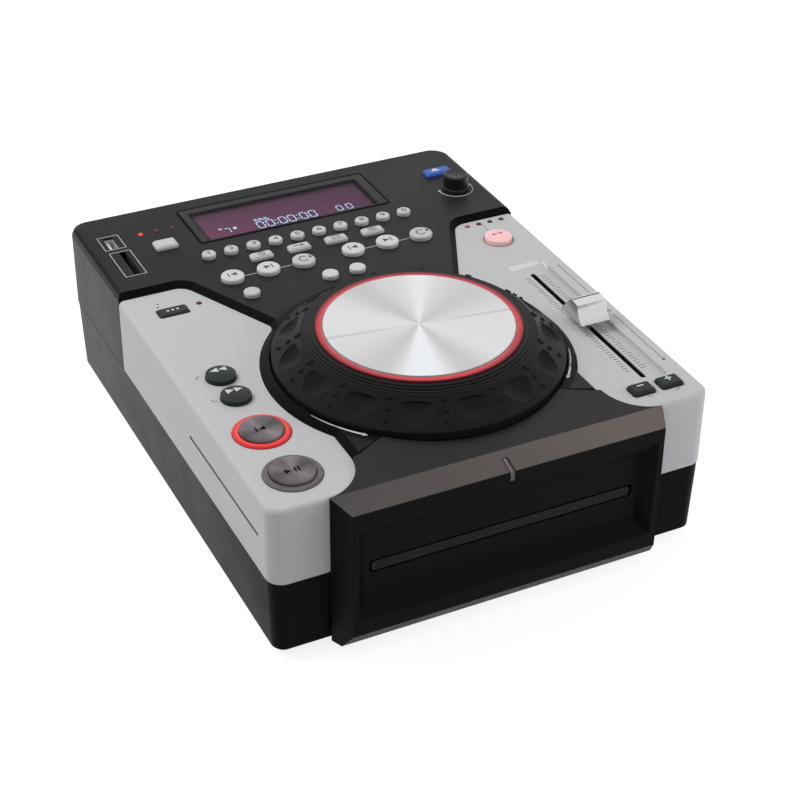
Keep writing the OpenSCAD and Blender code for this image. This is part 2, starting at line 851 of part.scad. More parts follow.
// outer form of the deck: plate, soft bevel and rear skirt
module deck_block() {
    difference() {
        intersection() {
            hull() {
                case_slice(part_z, 0);
                case_slice(panel_z - eps, 0);
                case_slice(panel_z + 0.7 * deck_rise, 0.35 * bevel_w);
                case_slice(deck_z - eps, bevel_w);
            }
            union() {
                linear_extrude(far) difference() {
                    translate([-far / 2, panel_d + body_gap]) square(far);
                    both_panels(body_gap);
                }
                translate([0, 0, deck_under]) linear_extrude(far) difference() {
                    translate([-half_w, 1]) square([body_w, panel_d]);
                    both_panels(body_gap);
                    fascia_region(body_gap);
                }
            }
        }
        for (s = [0, 1]) {
            mirror([s, 0, 0]) bevel_cut();
        }
    }
}

// tapered cut that gives the deck its bevel along the right-hand panel
module bevel_cut() {
    difference() {
        for (part = [0, 1]) {
            hull() {
                bevel_slice(part, -bevel_over);
                bevel_slice(part, deck_rise + bevel_over);
            }
        }
        translate([0, jog_y, panel_z - bevel_over - eps])
            cylinder(r1 = deck_ring_r - bevel_grow(-bevel_over), r2 = deck_ring_r - bevel_grow(deck_rise + bevel_over),
                h = deck_rise + 2 * bevel_over + 2 * eps);
    }
}

// how far the bevel stands off the panel's edge at height h above the panel
function bevel_grow(h) = body_gap + h * bevel_w / deck_rise;

// front part round the lobe, rear part round the tip and the shoulder
module bevel_slice(part, h) {
    g = bevel_grow(h);
    translate([0, 0, panel_z + h]) linear_extrude(eps) {
        if (part == 0) {
            translate(lobe_c) circle(lobe_r + g, $fn = hull_fn);
            translate([lobe_x - g, lobe_c.y]) square([half_w, jog_y]);
        } else {
            translate(tip_c) circle(tip_r + g, $fn = hull_fn);
            translate(shoulder_c) circle(shoulder_r + g, $fn = hull_fn);
            translate([half_w + 10, -g]) square([1, panel_d + 2 * g]);
        }
    }
}

// ---------- display, lamps and sockets ----------

module display_window() {
    color([0.25, 0.2, 0.25, 0.6]) in_frame()
        translate([0, window_y + window_d / 2, deck_z - window_t])
            linear_extrude(window_t + 0.2) bar_outline(window_w, window_d, 1.8);
}

module indicator_lamps() {
    color("red") in_frame() {
        lamps(deck_lamps, deck_z);
        lamps(right_lamps, panel_z);
        lamps(left_lamps, panel_z);
        tray_lamp();
    }
}

module lamps(list, z) {
    for (p = list) {
        translate([p.x, p.y, board_z]) cylinder(d = lamp_d, h = z - board_z - 0.6);
        translate([p.x, p.y, z - 0.6]) intersection() {
            sphere(d = lamp_d);
            cylinder(d = lamp_d, h = lamp_d);
        }
    }
}

// height of the bronze strip at depth y
function strip_z(y) = panel_z + y * strip_fall / fascia_out;
front_z = panel_z - strip_fall;

// light pipe that runs over the bronze strip and down the fascia's front face
module tray_lamp() {
    back_y = -fascia_out + tray_lamp_t;
    translate([tray_lamp_x - tray_lamp_w / 2, 0, 0]) rotate([90, 0, 90]) linear_extrude(tray_lamp_w)
        polygon([[-front_reach, front_z - tray_lamp_drop], [-front_reach, front_z + lamp_proud / 2],
            [tray_lamp_y, strip_z(tray_lamp_y) + lamp_proud], [tray_lamp_y, strip_z(tray_lamp_y) - tray_lamp_t],
            [back_y, strip_z(back_y) - tray_lamp_t], [back_y, front_z - tray_lamp_drop]]);
}

// groove in the fascia that holds the light pipe
module tray_lamp_groove() {
    back_y = -fascia_out + tray_lamp_t + body_gap;
    end_y = tray_lamp_y + tray_lamp_gap;
    low_z = front_z - tray_lamp_drop - tray_lamp_gap;
    deep = tray_lamp_t + body_gap;
    w = tray_lamp_w + 2 * tray_lamp_gap;
    translate([tray_lamp_x - w / 2, 0, 0]) rotate([90, 0, 90]) linear_extrude(w)
        polygon([[-far, low_z], [back_y, low_z], [back_y, strip_z(back_y) - deep],
            [end_y, strip_z(end_y) - deep], [end_y, far], [-far, far]]);
}

module media_sockets() {
    color("silver") in_frame() {
        // USB shell with its contact tongue
        difference() {
            translate([usb_x, usb_y, board_z])
                linear_extrude(deck_z - 1 - board_z) square([usb_w - 0.4, usb_l - 0.4], center = true);
            translate([usb_x, usb_y, board_z + 2])
                linear_extrude(far) square([usb_w - 1.1, usb_l - 1.1], center = true);
        }
        translate([usb_x - 1.25, usb_y, board_z + 1])
            linear_extrude(deck_z - 3 - board_z) square([1.8, 10.6], center = true);
        // card holder
        difference() {
            translate([card_x, card_y, board_z])
                linear_extrude(deck_under - run_gap - board_z) square([card_w + 4, card_l + 3], center = true);
            translate([card_x, card_y, board_z + 1])
                linear_extrude(far) square([card_w - 0.6, card_l - 0.4], center = true);
        }
    }
}

// ---------- front fascia ----------

module fascia_profile() {
    polygon([[-6, base_z + 0.3], [-fascia_out, base_z + 9.4], [-fascia_out, front_z], [0, panel_z],
        [seam_in_y + 4, deck_z + 4 * deck_rise / seam_in_y], [seam_in_y + 4, deck_under + 0.6],
        [2.2, panel_z - 3], [-body_gap, panel_z - 3], [-body_gap, base_z + 0.3]]);
}

module fascia_plan() {
    difference() {
        union() {
            polygon([[-fascia_x, 0], [-fascia_x + fascia_taper, -fascia_out],
                [fascia_x - fascia_taper, -fascia_out], [fascia_x, 0]]);
            translate([-fascia_x, -eps]) square([2 * fascia_x, seam_in_y + 3]);
        }
        both_panels(body_gap);
        difference() {
            translate([-far / 2, 0]) square([far, far]);
            fascia_region(0);
        }
    }
}

module front_fascia() {
    color([0.12, 0.12, 0.12]) in_frame() difference() {
        intersection() {
            linear_extrude(far) fascia_plan();
            rotate([90, 0, 90]) translate([0, 0, -half_w]) linear_extrude(body_w) fascia_profile();
        }
        fascia_recess();
        // slot for the tray
        translate([0, 5, slot_z0 + slot_h / 2]) rotate([90, 0, 0])
            linear_extrude(fascia_out + 5) bar_outline(tray_w + 2 * tray_gap, slot_h, slot_r);
        tray_lamp_groove();
        // pockets in the back, above and below the recess
        for (x = [-60, -20, 20, 60]) {
            translate([x - 16, -fascia_out + wall, recess_z + base_z + recess_h + wall])
                cube([32, fascia_out, front_z - recess_z - base_z - recess_h - 2 * wall]);
            translate([x - 16, -8 + wall, base_z + 4]) cube([32, fascia_out, recess_z - 6]);
        }
    }
}

// truncated pyramid, wide at the front face
module fascia_recess() {
    z0 = base_z + recess_z;
    hull() {
        translate([-recess_w / 2, -fascia_out - 1, z0]) cube([recess_w, 1, recess_h]);
        translate([-recess_w / 2 + recess_side, fascia_recess_y() - eps, z0 + 7.2])
            cube([recess_w - 2 * recess_side, eps, recess_h - 17.7]);
    }
}

// ---------- boards ----------

module switch_body(p, h) {
    difference() {
        translate([p.x - switch_w / 2, p.y - switch_w / 2, board_z]) cube([switch_w, switch_w, h]);
        translate([p.x, p.y, board_z - 0.2]) cylinder(d = stem_d + 2 * stem_gap, h = h + 1);
    }
}

function deck_board_y() = jog_y + well_r + deck_board_gap;

// part of the case outline between two depths, outside |x| = x0
module board_plate(x0, y0, y1) {
    translate([0, 0, board_z - board_t]) linear_extrude(board_t) difference() {
        intersection() {
            case_outline(wall + board_case_gap);
            translate([-half_w, y0]) square([body_w, y1 - y0]);
        }
        if (x0 > 0) {
            translate([-x0, 0]) square([2 * x0, body_d]);
        }
    }
}

module control_board() {
    color("darkgreen") in_frame() {
        difference() {
            union() {
                board_plate(0, deck_board_y(), body_d);
                board_plate(side_board_x, 6, deck_board_y() + 1);
            }
            for (p = screw_places) {
                translate([p.x, p.y, 0]) cylinder(d = upper_boss_d + 1, h = far);
            }
        }
        for (k = deck_round_keys()) {
            switch_body(k, switch_h);
        }
        for (k = concat(deck_bar_keys(), left_keys(), right_keys())) {
            switch_body(k, switch_h);
        }
        // fader track
        difference() {
            translate([fader_x - fader_body_w / 2, fader_y - fader_body_l / 2, board_z])
                cube([fader_body_w, fader_body_l, 6]);
            translate([fader_x - fader_stem_w / 2 - run_gap, fader_y - fader_slot_l / 2, board_z + 1])
                cube([fader_stem_w + 2 * run_gap, fader_slot_l, 6]);
        }
        // encoder body with its bush
        difference() {
            union() {
                translate([knob_x - 6, knob_y - 6, board_z]) cube([12, 12, 6]);
                translate([knob_x, knob_y, board_z]) cylinder(d = 7, h = deck_under - board_z + 1);
            }
            translate([knob_x, knob_y, board_z + 1]) cylinder(d = 6 + 2 * shaft_gap, h = far);
        }
        // display module under the window
        translate([module_in - window_w / 2, window_y + module_lap, board_z])
            cube([window_w - 2 * module_in, window_d - module_lap - 3, deck_under - board_z]);
    }
}

module main_board() {
    color("darkgreen") in_frame() {
        translate([-main_board_w / 2, main_board_y0, main_board_z])
            cube([main_board_w, main_board_l, board_t]);
        // transformer, capacitors and heat sink of the supply
        on_board(6 - main_board_w / 2, 4) cube(transformer);
        for (x = [-38, -24]) {
            on_board(x, 14) cylinder(d = capacitor_d, h = capacitor_h);
        }
        for (i = [0:4]) {
            on_board(fin_gap * i - 14, 6) cube([fin_t, heat_sink.y, heat_sink.z]);
        }
        on_board(-14, 6) cube([heat_sink.x, 2, heat_sink.z]);
        // processor and shock memory
        on_board(20, 10) cube(processor);
        on_board(50, 12) cube(memory);
    }
}

module on_board(x, y) {
    translate([x, main_board_y0 + y, main_board_z + board_t]) children();
}

// ---------- rear ----------

module rear_connectors() {
    color("dimgray") in_frame() {
        board_top = main_board_z + board_t;
        for (x = rca_x) {
            difference() {
                union() {
                    translate([x - 6, rear_inner_y - 12, board_top]) cube([12, 12, socket_z + 7 - board_top]);
                    translate([x, rear_inner_y - 1, socket_z]) rotate([-90, 0, 0])
                        cylinder(d = rca_d, h = rear_reach - rear_inner_y + 1);
                }
                translate([x, rear_inner_y - 4, socket_z]) rotate([-90, 0, 0]) cylinder(d = 3.3, h = far);
            }
        }
        difference() {
            union() {
                translate([minijack_x - 5, rear_inner_y - 12, board_top])
                    cube([10, 12, socket_z + 5 - board_top]);
                translate([minijack_x, rear_inner_y - 1, socket_z]) rotate([-90, 0, 0])
                    cylinder(d = 6, h = rear_face_y + socket_lip - rear_inner_y + 1);
            }
            translate([minijack_x, rear_inner_y - 11, socket_z]) rotate([-90, 0, 0]) cylinder(d = 3.6, h = far);
        }
        mains_inlet();
        rocker_frame();
    }
}

module mains_inlet() {
    translate([inlet_x, rear_face_y + socket_lip, socket_z]) {
        difference() {
            translate([-inlet_w / 2, -inlet_deep, -inlet_h / 2]) cube([inlet_w, inlet_deep, inlet_h]);
            translate([-inlet_cavity_w / 2, -inlet_cavity_deep, -inlet_cavity_h / 2])
                cube([inlet_cavity_w, far, inlet_cavity_h]);
        }
        for (p = [[-7, -2], [0, 2], [7, -2]]) {
            translate([p.x - 1, -inlet_cavity_deep - 0.5, p.y - 2]) cube([2, inlet_pin_l + 0.5, 4]);
        }
    }
}

module rocker_frame() {
    translate([rocker_x, rear_face_y, socket_z]) difference() {
        translate([-rocker_w / 2 - 1.5, -rocker_deep - 1, -rocker_h / 2 - 1.5])
            cube([rocker_w + 3, rocker_deep + 1 + socket_lip, rocker_h + 3]);
        translate([-rocker_w / 2 - run_gap, -rocker_deep + 1, -rocker_h / 2 - run_gap])
            cube([rocker_w + 2 * run_gap, far, rocker_h + 2 * run_gap]);
        rotate([0, 90, 0]) translate([0, -4, -far / 2]) cylinder(d = 2.4 + 2 * shaft_gap, h = far);
    }
}

// rocker: two faces that meet over its pin
module power_switch() {
    color("black") in_frame() translate([rocker_x, rear_face_y, socket_z])
        translate([0, -4, 0]) rotate([rocker_swing, 0, 0]) translate([0, 4, 0]) {
        difference() {
            intersection() {
                translate([-rocker_w / 2, -4, 0]) rotate([0, 90, 0]) cylinder(r = rocker_h / 2, h = rocker_w);
                translate([-rocker_w / 2, -9, -rocker_h / 2]) cube([rocker_w, 12, rocker_h]);
            }
            translate([-rocker_w, 12, 0]) rotate([0, 90, 0]) cylinder(r = 11.5, h = 2 * rocker_w);
        }
        translate([-rocker_w / 2 - 1.2, -4, 0]) rotate([0, 90, 0]) cylinder(d = 2.4, h = rocker_w + 2.4);
    }
}

// ---------- feet and screws ----------

module feet() {
    color([0.15, 0.15, 0.15]) in_frame() for (p = foot_places) {
        translate([p.x, p.y, 0]) difference() {
            union() {
                cylinder(d1 = foot_d - 2, d2 = foot_d, h = 1);
                translate([0, 0, 1]) cylinder(d = foot_d, h = foot_h - 1);
            }
            translate([0, 0, -eps]) cylinder(d = 6, h = 1.5);
        }
    }
}

module case_screws() {
    color("silver") in_frame() for (p = screw_places) {
        translate([p.x, p.y, screw_seat_z - 2]) difference() {
            cylinder(d = screw_head_d, h = 2);
            translate([0, 0, -eps]) cylinder(d = 2.6, h = 1.2, $fn = 6);
        }
        translate([p.x, p.y, screw_seat_z - eps]) cylinder(d = screw_d, h = screw_l);
    }
}

// ---------- jog wheel ----------

module jog_bearing() {
    color("silver") in_frame() translate([0, jog_y, 0]) {
        translate([0, 0, well_floor_z - well_floor_t - nut_h])
            cylinder(d = spindle_d, h = web_z + web_t + 2 - well_floor_z + well_floor_t + nut_h);
        translate([0, 0, well_floor_z]) cylinder(r = bearing_flange_r, h = bearing_flange_t);
        translate([0, 0, well_floor_z - well_floor_t - nut_h]) cylinder(d = 14, h = nut_h, $fn = 6);
    }
}

// half section of the rubber rim, from the hub outwards
module jog_section() {
    polygon([[spindle_d / 2 + shaft_gap, hub_z], [hub_r, hub_z], [hub_r, web_z],
        [collar_r - 6, web_z], [rim_r - rim_wall - 3, rim_shoulder_z - 1], [rim_r - rim_wall, rim_bottom_z],
        [rim_r, rim_bottom_z], [rim_r, rim_shoulder_z], [slope_r1, slope_z1],
        [slope_r0, slope_z0], [collar_r, slope_z0], [collar_r, collar_z],
        [collar_r - 1.6, collar_z], [collar_r - 1.6, collar_z + 0.7], [collar_r - 3.2, collar_z + 0.7],
        [collar_r - 3.2, collar_z + 1.4], [glow_r + body_gap, collar_z + 1.4],
        [glow_r + body_gap, web_z + web_t], [spindle_d / 2 + shaft_gap, web_z + web_t]]);
}

// where the dimples and bumps lie on the sloping face
slope_r0 = collar_r + 1.2;
slope_r1 = rim_r - 0.6;
slope_z0 = collar_z - 0.4;
slope_z1 = rim_shoulder_z + 0.7;
slope_a = atan2(slope_z0 - slope_z1, slope_r1 - slope_r0);
function slope_z(r) = slope_z0 - (r - slope_r0) * tan(slope_a);

module jog_rim() {
    color([0.17, 0.17, 0.17]) in_frame() translate([0, jog_y, 0]) {
        difference() {
            rotate_extrude() jog_section();
            for (i = [0:dimples - 1]) {
                rotate([0, 0, 2.4 + i * 360 / dimples]) dimple();
            }
        }
        for (i = [0:dimples - 1]) {
            rotate([0, 0, 2.4 + (i + 0.5) * 360 / dimples]) bumps();
        }
    }
}

// finger dimple: a ball cut inside a rounded triangle, steep towards the collar; x runs down the slope
module dimple() {
    r = slope_r0 + 2.2;
    translate([r, 0, slope_z(r)]) rotate([0, slope_a, 0]) intersection() {
        translate([3.4, 0, dimple_ball - dimple_deep]) sphere(dimple_ball);
        translate([0, 0, -2 * dimple_deep]) linear_extrude(4 * dimple_deep) dimple_outline();
    }
}

// rounded triangle, wide towards the collar
module dimple_outline() {
    polygon([for (a = [0:15:345])
        let (d = 7.6 + 1.25 * cos(3 * a) + 0.25 * cos(6 * a)) [6.1 + 0.86 * d * cos(a), 1.06 * d * sin(a)]]);
}

module bumps() {
    for (b = [[2, 1], [8, 0.8], [14, 0.66]]) {
        r = slope_r0 + b.x * cos(slope_a);
        translate([r, 0, slope_z(r)]) rotate([0, slope_a, 0]) translate([0, 0, -0.5])
            cylinder(r1 = bump_r * b.y + 0.3, r2 = bump_r * b.y - 0.7, h = 1.4);
    }
}

module jog_light_ring() {
    color([0.9, 0.25, 0.3]) in_frame() translate([0, jog_y, 0]) rotate_extrude() {
        translate([plate_r + 0.1, web_z + web_t]) square([glow_w - 0.1, jog_z - glow_drop - web_z - web_t]);
        translate([plate_r - 4, web_z + web_t]) square([5, jog_z - plate_t - web_z - web_t]);
    }
}

module jog_plate() {
    color([0.9, 0.9, 0.9]) in_frame() translate([0, jog_y, 0]) rotate_extrude() {
        polygon([[0, jog_z - plate_t], [plate_r, jog_z - plate_t], [plate_r, jog_z - 0.5], [plate_r - 0.5, jog_z],
            [6, jog_z - 0.25], [0, jog_z - 0.25]]);
        translate([plate_r - 12, web_z + web_t]) square([7, jog_z - plate_t - web_z - web_t + eps]);
    }
}

// ---------- knobs and rings ----------

module pitch_fader_knob() {
    z0 = panel_z + fader_float;
    z1 = z0 + fader_cap_h;
    y0 = 0.55 - fader_cap_l / 2;
    y1 = 0.55 + fader_cap_l / 2;
    brow = 0.5;                  // fall of the top towards the scoop in the front
    lip = 0.5;
    scoop_out = 4.6;
    color([0.85, 0.85, 0.85]) in_frame() translate([fader_x, fader_y, 0]) {
        difference() {
            rotate([90, 0, 90]) translate([0, 0, -fader_cap_w / 2]) linear_extrude(fader_cap_w)
                polygon([[y0, z0], [y1, z0], [y1, z0 + 0.8], [y1 - 7.2, z1 - 0.5], [y1 - 7.7, z1],
                    [y1 - 9.7, z1], [y0 + 6, z1 - brow], [y0, z1 - brow]]);
            translate([-fader_cap_w, y0 - scoop_out, z1 - brow]) rotate([0, 90, 0])
                cylinder(r = norm([scoop_out, z1 - brow - lip - z0]), h = 2 * fader_cap_w);
        }
        translate([-fader_stem_w / 2, -fader_stem_l / 2, board_z + 2])
            cube([fader_stem_w, fader_stem_l, z0 - board_z - 2 + eps]);
    }
}

module select_knob() {
    color([0.1, 0.1, 0.1]) in_frame() translate([knob_x, knob_y, 0]) {
        rotate_extrude() polygon([[0, deck_z + 0.4], [knob_d / 2 + 0.8, deck_z + 0.4], [knob_d / 2 + 0.6, deck_z + 1.6],
            [knob_d / 2 + 0.1, deck_z + 2.2], [knob_d / 2, deck_z + knob_h - 0.8], [knob_d / 2 - 0.8, deck_z + knob_h],
            [2, deck_z + knob_h - 0.5], [0, deck_z + knob_h - 0.5]]);
        translate([0, 0, board_z + 1 + run_gap]) cylinder(d = 6, h = deck_z - board_z);
    }
}

module key_light_rings() {
    color([0.9, 0.4, 0.4]) in_frame() for (y = [cue_y, play_y]) {
        translate([-column_x, y, 0]) rotate_extrude() {
            translate([halo_d / 2 - halo_w, panel_under - halo_flange_t])
                square([halo_w, panel_z + halo_rise - 0.6 - panel_under + halo_flange_t]);
            translate([halo_d / 2 - halo_w, panel_under - halo_flange_t])
                square([halo_w + flange_out, halo_flange_t]);
            polygon([[halo_d / 2 - halo_w, panel_z], [halo_d / 2, panel_z], [halo_d / 2, panel_z + halo_rise - 0.5],
                [halo_d / 2 - 0.6, panel_z + halo_rise], [halo_d / 2 - halo_w, panel_z + halo_rise]]);
        }
    }
}

// ---------- disc drive ----------

module drive_chassis() {
    color([0.25, 0.25, 0.27]) in_frame() {
        difference() {
            union() {
                translate([-chassis_x, chassis_y0, chassis_z0])
                    cube([2 * chassis_x, chassis_y1 - chassis_y0, chassis_floor_t]);
                for (s = [-1, 1]) {
                    translate([s > 0 ? chassis_x - chassis_wall : -chassis_x, chassis_y0, chassis_z0])
                        cube([chassis_wall, chassis_y1 - chassis_y0, bridge_z - chassis_z0]);
                }
                translate([-chassis_x, chassis_y1 - chassis_wall, chassis_z0])
                    cube([2 * chassis_x, chassis_wall, tray_z0 - 2 - chassis_z0]);
                for (p = drive_posts) {
                    translate([p.x, p.y, chassis_z0]) cylinder(d = drive_post_d, h = chassis_floor_t);
                    translate([min(p.x, p.x - sign(p.x) * 6), p.y - 4, chassis_z0]) cube([6, 8, chassis_floor_t]);
                }
            }
            translate([-traverse_x - 4, traverse_y0 - 4, 0])
                cube([2 * traverse_x + 8, hinge_y + 10 - traverse_y0, chassis_z0 + chassis_floor_t + eps]);
        }
        // runners below and above the tray's edges
        for (s = [-1, 1], y = runner_places) {
            runner(s, y, tray_z0 - chassis_gap - 2);
            runner(s, y, tray_z0 + tray_t + chassis_gap);
        }
        // clamp bridge with its puck
        translate([-chassis_x, disc_y - bridge_w / 2, bridge_z]) cube([2 * chassis_x, bridge_w, bridge_t]);
        translate([0, disc_y, bridge_z - 1.5]) cylinder(d = 30, h = 1.5);
        translate([0, disc_y, bridge_z + bridge_t]) cylinder(d = 18, h = 2);
        // gear post, and the loading motor with its small pulley
        translate([gear_x, gear_y, chassis_z0]) cylinder(d = gear_post_d, h = tray_z0 + gear_face - chassis_z0);
        translate([gear_x + 30, gear_y + 2, chassis_z0 + chassis_floor_t + 4]) cylinder(d = loading_motor_d, h = 8);
        translate([gear_x + 30, gear_y + 2, chassis_z0]) cylinder(d = 6, h = chassis_floor_t + 5);
        // hinge blocks of the traverse
        for (s = [-1, 1]) {
            hinge_block(s);
        }
    }
}

module runner(s, y, z) {
    translate([s > 0 ? chassis_x - chassis_wall - runner_in : -chassis_x + chassis_wall - eps, y, z])
        cube([runner_in + eps, runner_l, 2]);
}

module hinge_block(s) {
    x0 = traverse_x + 4;
    translate([s > 0 ? x0 : -x0 - 5, hinge_y - 4, chassis_z0]) difference() {
        cube([5, 8, traverse_z + 4 - chassis_z0]);
        translate([-1, 4, traverse_z + traverse_t / 2 - chassis_z0]) rotate([0, 90, 0])
            cylinder(d = hinge_d + 2 * shaft_gap, h = 7);
    }
}

module disc_tray() {
    well_z = tray_z0 + tray_t - disc_well;
    color([0.16, 0.16, 0.16]) in_frame() {
        difference() {
            translate([0, tray_front + tray_l, tray_z0 + tray_t / 2]) rotate([90, 0, 0])
                linear_extrude(tray_l) bar_outline(tray_w, tray_t, tray_r);
            translate([0, disc_y, well_z]) cylinder(d = disc_d + 2, h = far);
            translate([0, disc_y, well_z - 1]) cylinder(d = 82, h = far);
            // window for the turntable and the sled, open to the rear
            translate([0, disc_y, 0]) cylinder(r = window_half, h = far);
            translate([-window_half, disc_y, 0]) cube([2 * window_half, far, far]);
            // finger notches beside the disc
            for (s = [-1, 1]) {
                translate([s * (tray_w / 2 - 4), disc_y, well_z]) cylinder(d = 20, h = far);
            }
            // channel under the left side, in which the pinion runs
            translate([rack_x - gear_root, rack_y0 - gear_tip, tray_z0 - 1])
                cube([gear_root + 2 * gear_r + gear_tip + 1, far, rack_deep + 1]);
        }
        for (i = [0:floor((tray_front + tray_l - rack_y0) / rack_pitch) - 1]) {
            translate([rack_x, rack_y0 + (i + 0.5) * rack_pitch, tray_z0]) linear_extrude(rack_deep + eps) tooth();
        }
    }
}

// tooth that points towards +X, with its pitch line on the Y axis
module tooth() {
    root_half = tooth_half + (gear_root + 0.1) * tooth_slope;
    tip_half = tooth_half - gear_tip * tooth_slope;
    polygon([[-gear_root - 0.1, -root_half], [gear_tip, -tip_half], [gear_tip, tip_half],
        [-gear_root - 0.1, root_half]]);
}

// pinion on the chassis post, with its belt pulley below
module loading_gear() {
    z0 = tray_z0 + 0.3;
    foot_z = chassis_z0 + chassis_floor_t + run_gap;
    color("ivory") in_frame() translate([gear_x, gear_y, 0]) difference() {
        union() {
            translate([0, 0, z0]) cylinder(r = gear_r - gear_root, h = gear_face);
            for (i = [0:gear_teeth - 1]) {
                rotate([0, 0, i * 360 / gear_teeth]) translate([gear_r, 0, z0]) linear_extrude(gear_face) tooth();
            }
            translate([0, 0, foot_z]) cylinder(r = 5, h = z0 - foot_z + eps);
            // grooved pulley for the belt
            translate([0, 0, foot_z]) cylinder(r = pulley_r, h = 1);
            translate([0, 0, foot_z + 1 - eps]) cylinder(r = pulley_r - 1.2, h = 2);
            translate([0, 0, foot_z + 3 - 2 * eps]) cylinder(r = pulley_r, h = 1);
        }
        cylinder(d = gear_post_d + 2 * shaft_gap, h = far);
    }
}

// length of a rail: the sled, its travel and a block at each end
function rod_l() = sled_l + sled_travel + 8;

module traverse_plate() {
    color([0.7, 0.7, 0.72]) in_frame() {
        difference() {
            translate([-traverse_x, traverse_y0, traverse_z]) cube([2 * traverse_x, hinge_y - traverse_y0, traverse_t]);
            translate([-rod_x + 5, sled_y0 + 2, 0]) cube([2 * rod_x - 10, sled_l + sled_travel - 2, far]);
            translate([0, disc_y, 0]) cylinder(d = 8, h = far);
        }
        // hinge pins
        translate([-traverse_x - 8.5, hinge_y, traverse_z + traverse_t / 2]) rotate([0, 90, 0])
            cylinder(d = hinge_d, h = 2 * traverse_x + 17);
        // spindle motor below, with the bearing neck through the plate
        difference() {
            union() {
                translate([0, disc_y, traverse_z - 8]) cylinder(d = motor_d, h = 8);
                translate([0, disc_y, traverse_z - eps]) cylinder(d = 7, h = 5);
            }
            translate([0, disc_y, traverse_z - 7]) cylinder(d = shaft_d + 2 * shaft_gap, h = 20);
        }
        // rails for the sled and the blocks that hold them
        for (s = [-1, 1]) {
            translate([s * rod_x, sled_y0 - 3, rod_z]) rotate([-90, 0, 0])
                cylinder(d = rod_d, h = rod_l());
            for (y = [sled_y0 - 3, sled_y0 - 3 + rod_l() - 3]) {
                translate([s * rod_x - 2.5, y, traverse_z]) cube([5, 3, rod_z - traverse_z + 2.5]);
            }
        }
    }
}

module turntable() {
    color([0.75, 0.75, 0.75]) in_frame() translate([0, disc_y, 0]) {
        translate([0, 0, turntable_z - 2]) cylinder(d = turntable_d, h = 2);
        translate([0, 0, turntable_z - eps]) cylinder(d1 = 14.6, d2 = 12, h = 2.4);
        translate([0, 0, traverse_z - 6.5]) cylinder(d = shaft_d, h = turntable_z - traverse_z + 6.5);
    }
}

module laser_sled() {
    color([0.2, 0.2, 0.2]) in_frame() translate([0, sled_y0, 0]) {
        difference() {
            translate([-rod_x - 3, 1, rod_z - 2.6]) cube([2 * rod_x + 6, sled_l, 5.2]);
            for (s = [-1, 1]) {
                translate([s * rod_x, 0, rod_z]) rotate([-90, 0, 0])
                    cylinder(d = rod_d + 2 * shaft_gap, h = sled_l + 2);
            }
        }
        translate([0, 1 + sled_l / 2, rod_z + 2.5]) cylinder(d = 8, h = 1.6);
    }
}

bottom_case();
left_side_panel();
right_side_panel();
top_deck();
front_fascia();
display_window();
indicator_lamps();
media_sockets();
control_board();
main_board();
rear_connectors();
power_switch();
feet();
case_screws();
jog_bearing();
jog_rim();
jog_light_ring();
jog_plate();
pitch_fader_knob();
select_knob();
key_light_rings();
drive_chassis();
disc_tray();
loading_gear();
traverse_plate();
turntable();
laser_sled();
number_key(0);  // number_key_1
number_key(1);  // number_key_2
number_key(2);  // number_key_3
number_key(3);  // number_key_4
number_key(4);  // number_key_5
number_key(5);  // number_key_6
number_key(6);  // number_key_7
number_key(7);  // number_key_8
number_key(8);  // number_key_9
number_key(9);  // number_key_0
bar_key_at(0);  // bar_key_1
bar_key_at(1);  // bar_key_2
bar_key_at(2);  // bar_key_3
bar_key_at(3);  // bar_key_4
loop_key(0, 0);  // loop_in_key_1
loop_key(0, 1);  // loop_out_key_1
loop_key(0, 2);  // loop_exit_key_1
loop_key(1, 0);  // loop_in_key_2
loop_key(1, 1);  // loop_out_key_2
loop_key(1, 2);  // loop_exit_key_2
small_key(tap_x);  // tap_key
small_key(memory_x[0]);  // memory_key_1
small_key(memory_x[1]);  // memory_key_2
source_key();
eject_key();
mode_key();
search_key(0);  // search_back_key
search_key(1);  // search_forward_key
transport_key(cue_y);  // cue_key
transport_key(play_y);  // play_key
pitch_key();
step_key(0);  // pitch_minus_key
step_key(1);  // pitch_plus_key
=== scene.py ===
"""Dresses the tabletop disc player: materials, printed marks, display and studio."""
import math

import bmesh
import bpy
from mathutils import Matrix, Vector
from mathutils.bvhtree import BVHTree


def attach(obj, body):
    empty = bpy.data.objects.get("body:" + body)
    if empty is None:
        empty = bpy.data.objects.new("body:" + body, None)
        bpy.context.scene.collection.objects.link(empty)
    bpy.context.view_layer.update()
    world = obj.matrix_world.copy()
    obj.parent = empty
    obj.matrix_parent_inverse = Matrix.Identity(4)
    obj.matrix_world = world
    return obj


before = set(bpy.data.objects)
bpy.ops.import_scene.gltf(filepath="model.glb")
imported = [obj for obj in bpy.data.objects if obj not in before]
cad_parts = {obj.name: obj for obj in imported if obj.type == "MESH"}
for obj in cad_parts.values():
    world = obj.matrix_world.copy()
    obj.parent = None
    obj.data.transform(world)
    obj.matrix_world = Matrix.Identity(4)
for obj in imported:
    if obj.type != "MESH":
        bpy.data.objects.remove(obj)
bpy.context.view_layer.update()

MM = 0.001
# places on the case in millimetres: x from its middle, y from the body's front face, z from the table
MID_Y = 141.4                   # middle of the footprint
SEAM_Z = 45.0                   # seam between the lower case and the upper mouldings
JOG = (0.0, 85.5)
PITCH_X = 93.7                  # the fader and the pitch key
TRANSPORT_X = -93.7             # the cue and play keys and their rings
CUE_Y = 60.0
PLAY_Y = 23.8
BETWEEN_KEYS = (41.0, 43.0)     # y between the play key and the cue key
SELECT_KNOB = (97.4, 233.9)
LOOP_X = ((-54.8, -34.6, -14.4), (14.4, 34.6, 54.8))    # in, out and exit key of each loop
LOOP_Y = 193.0
BAR_Y = 207.2
NUMBER_Y = 219.7

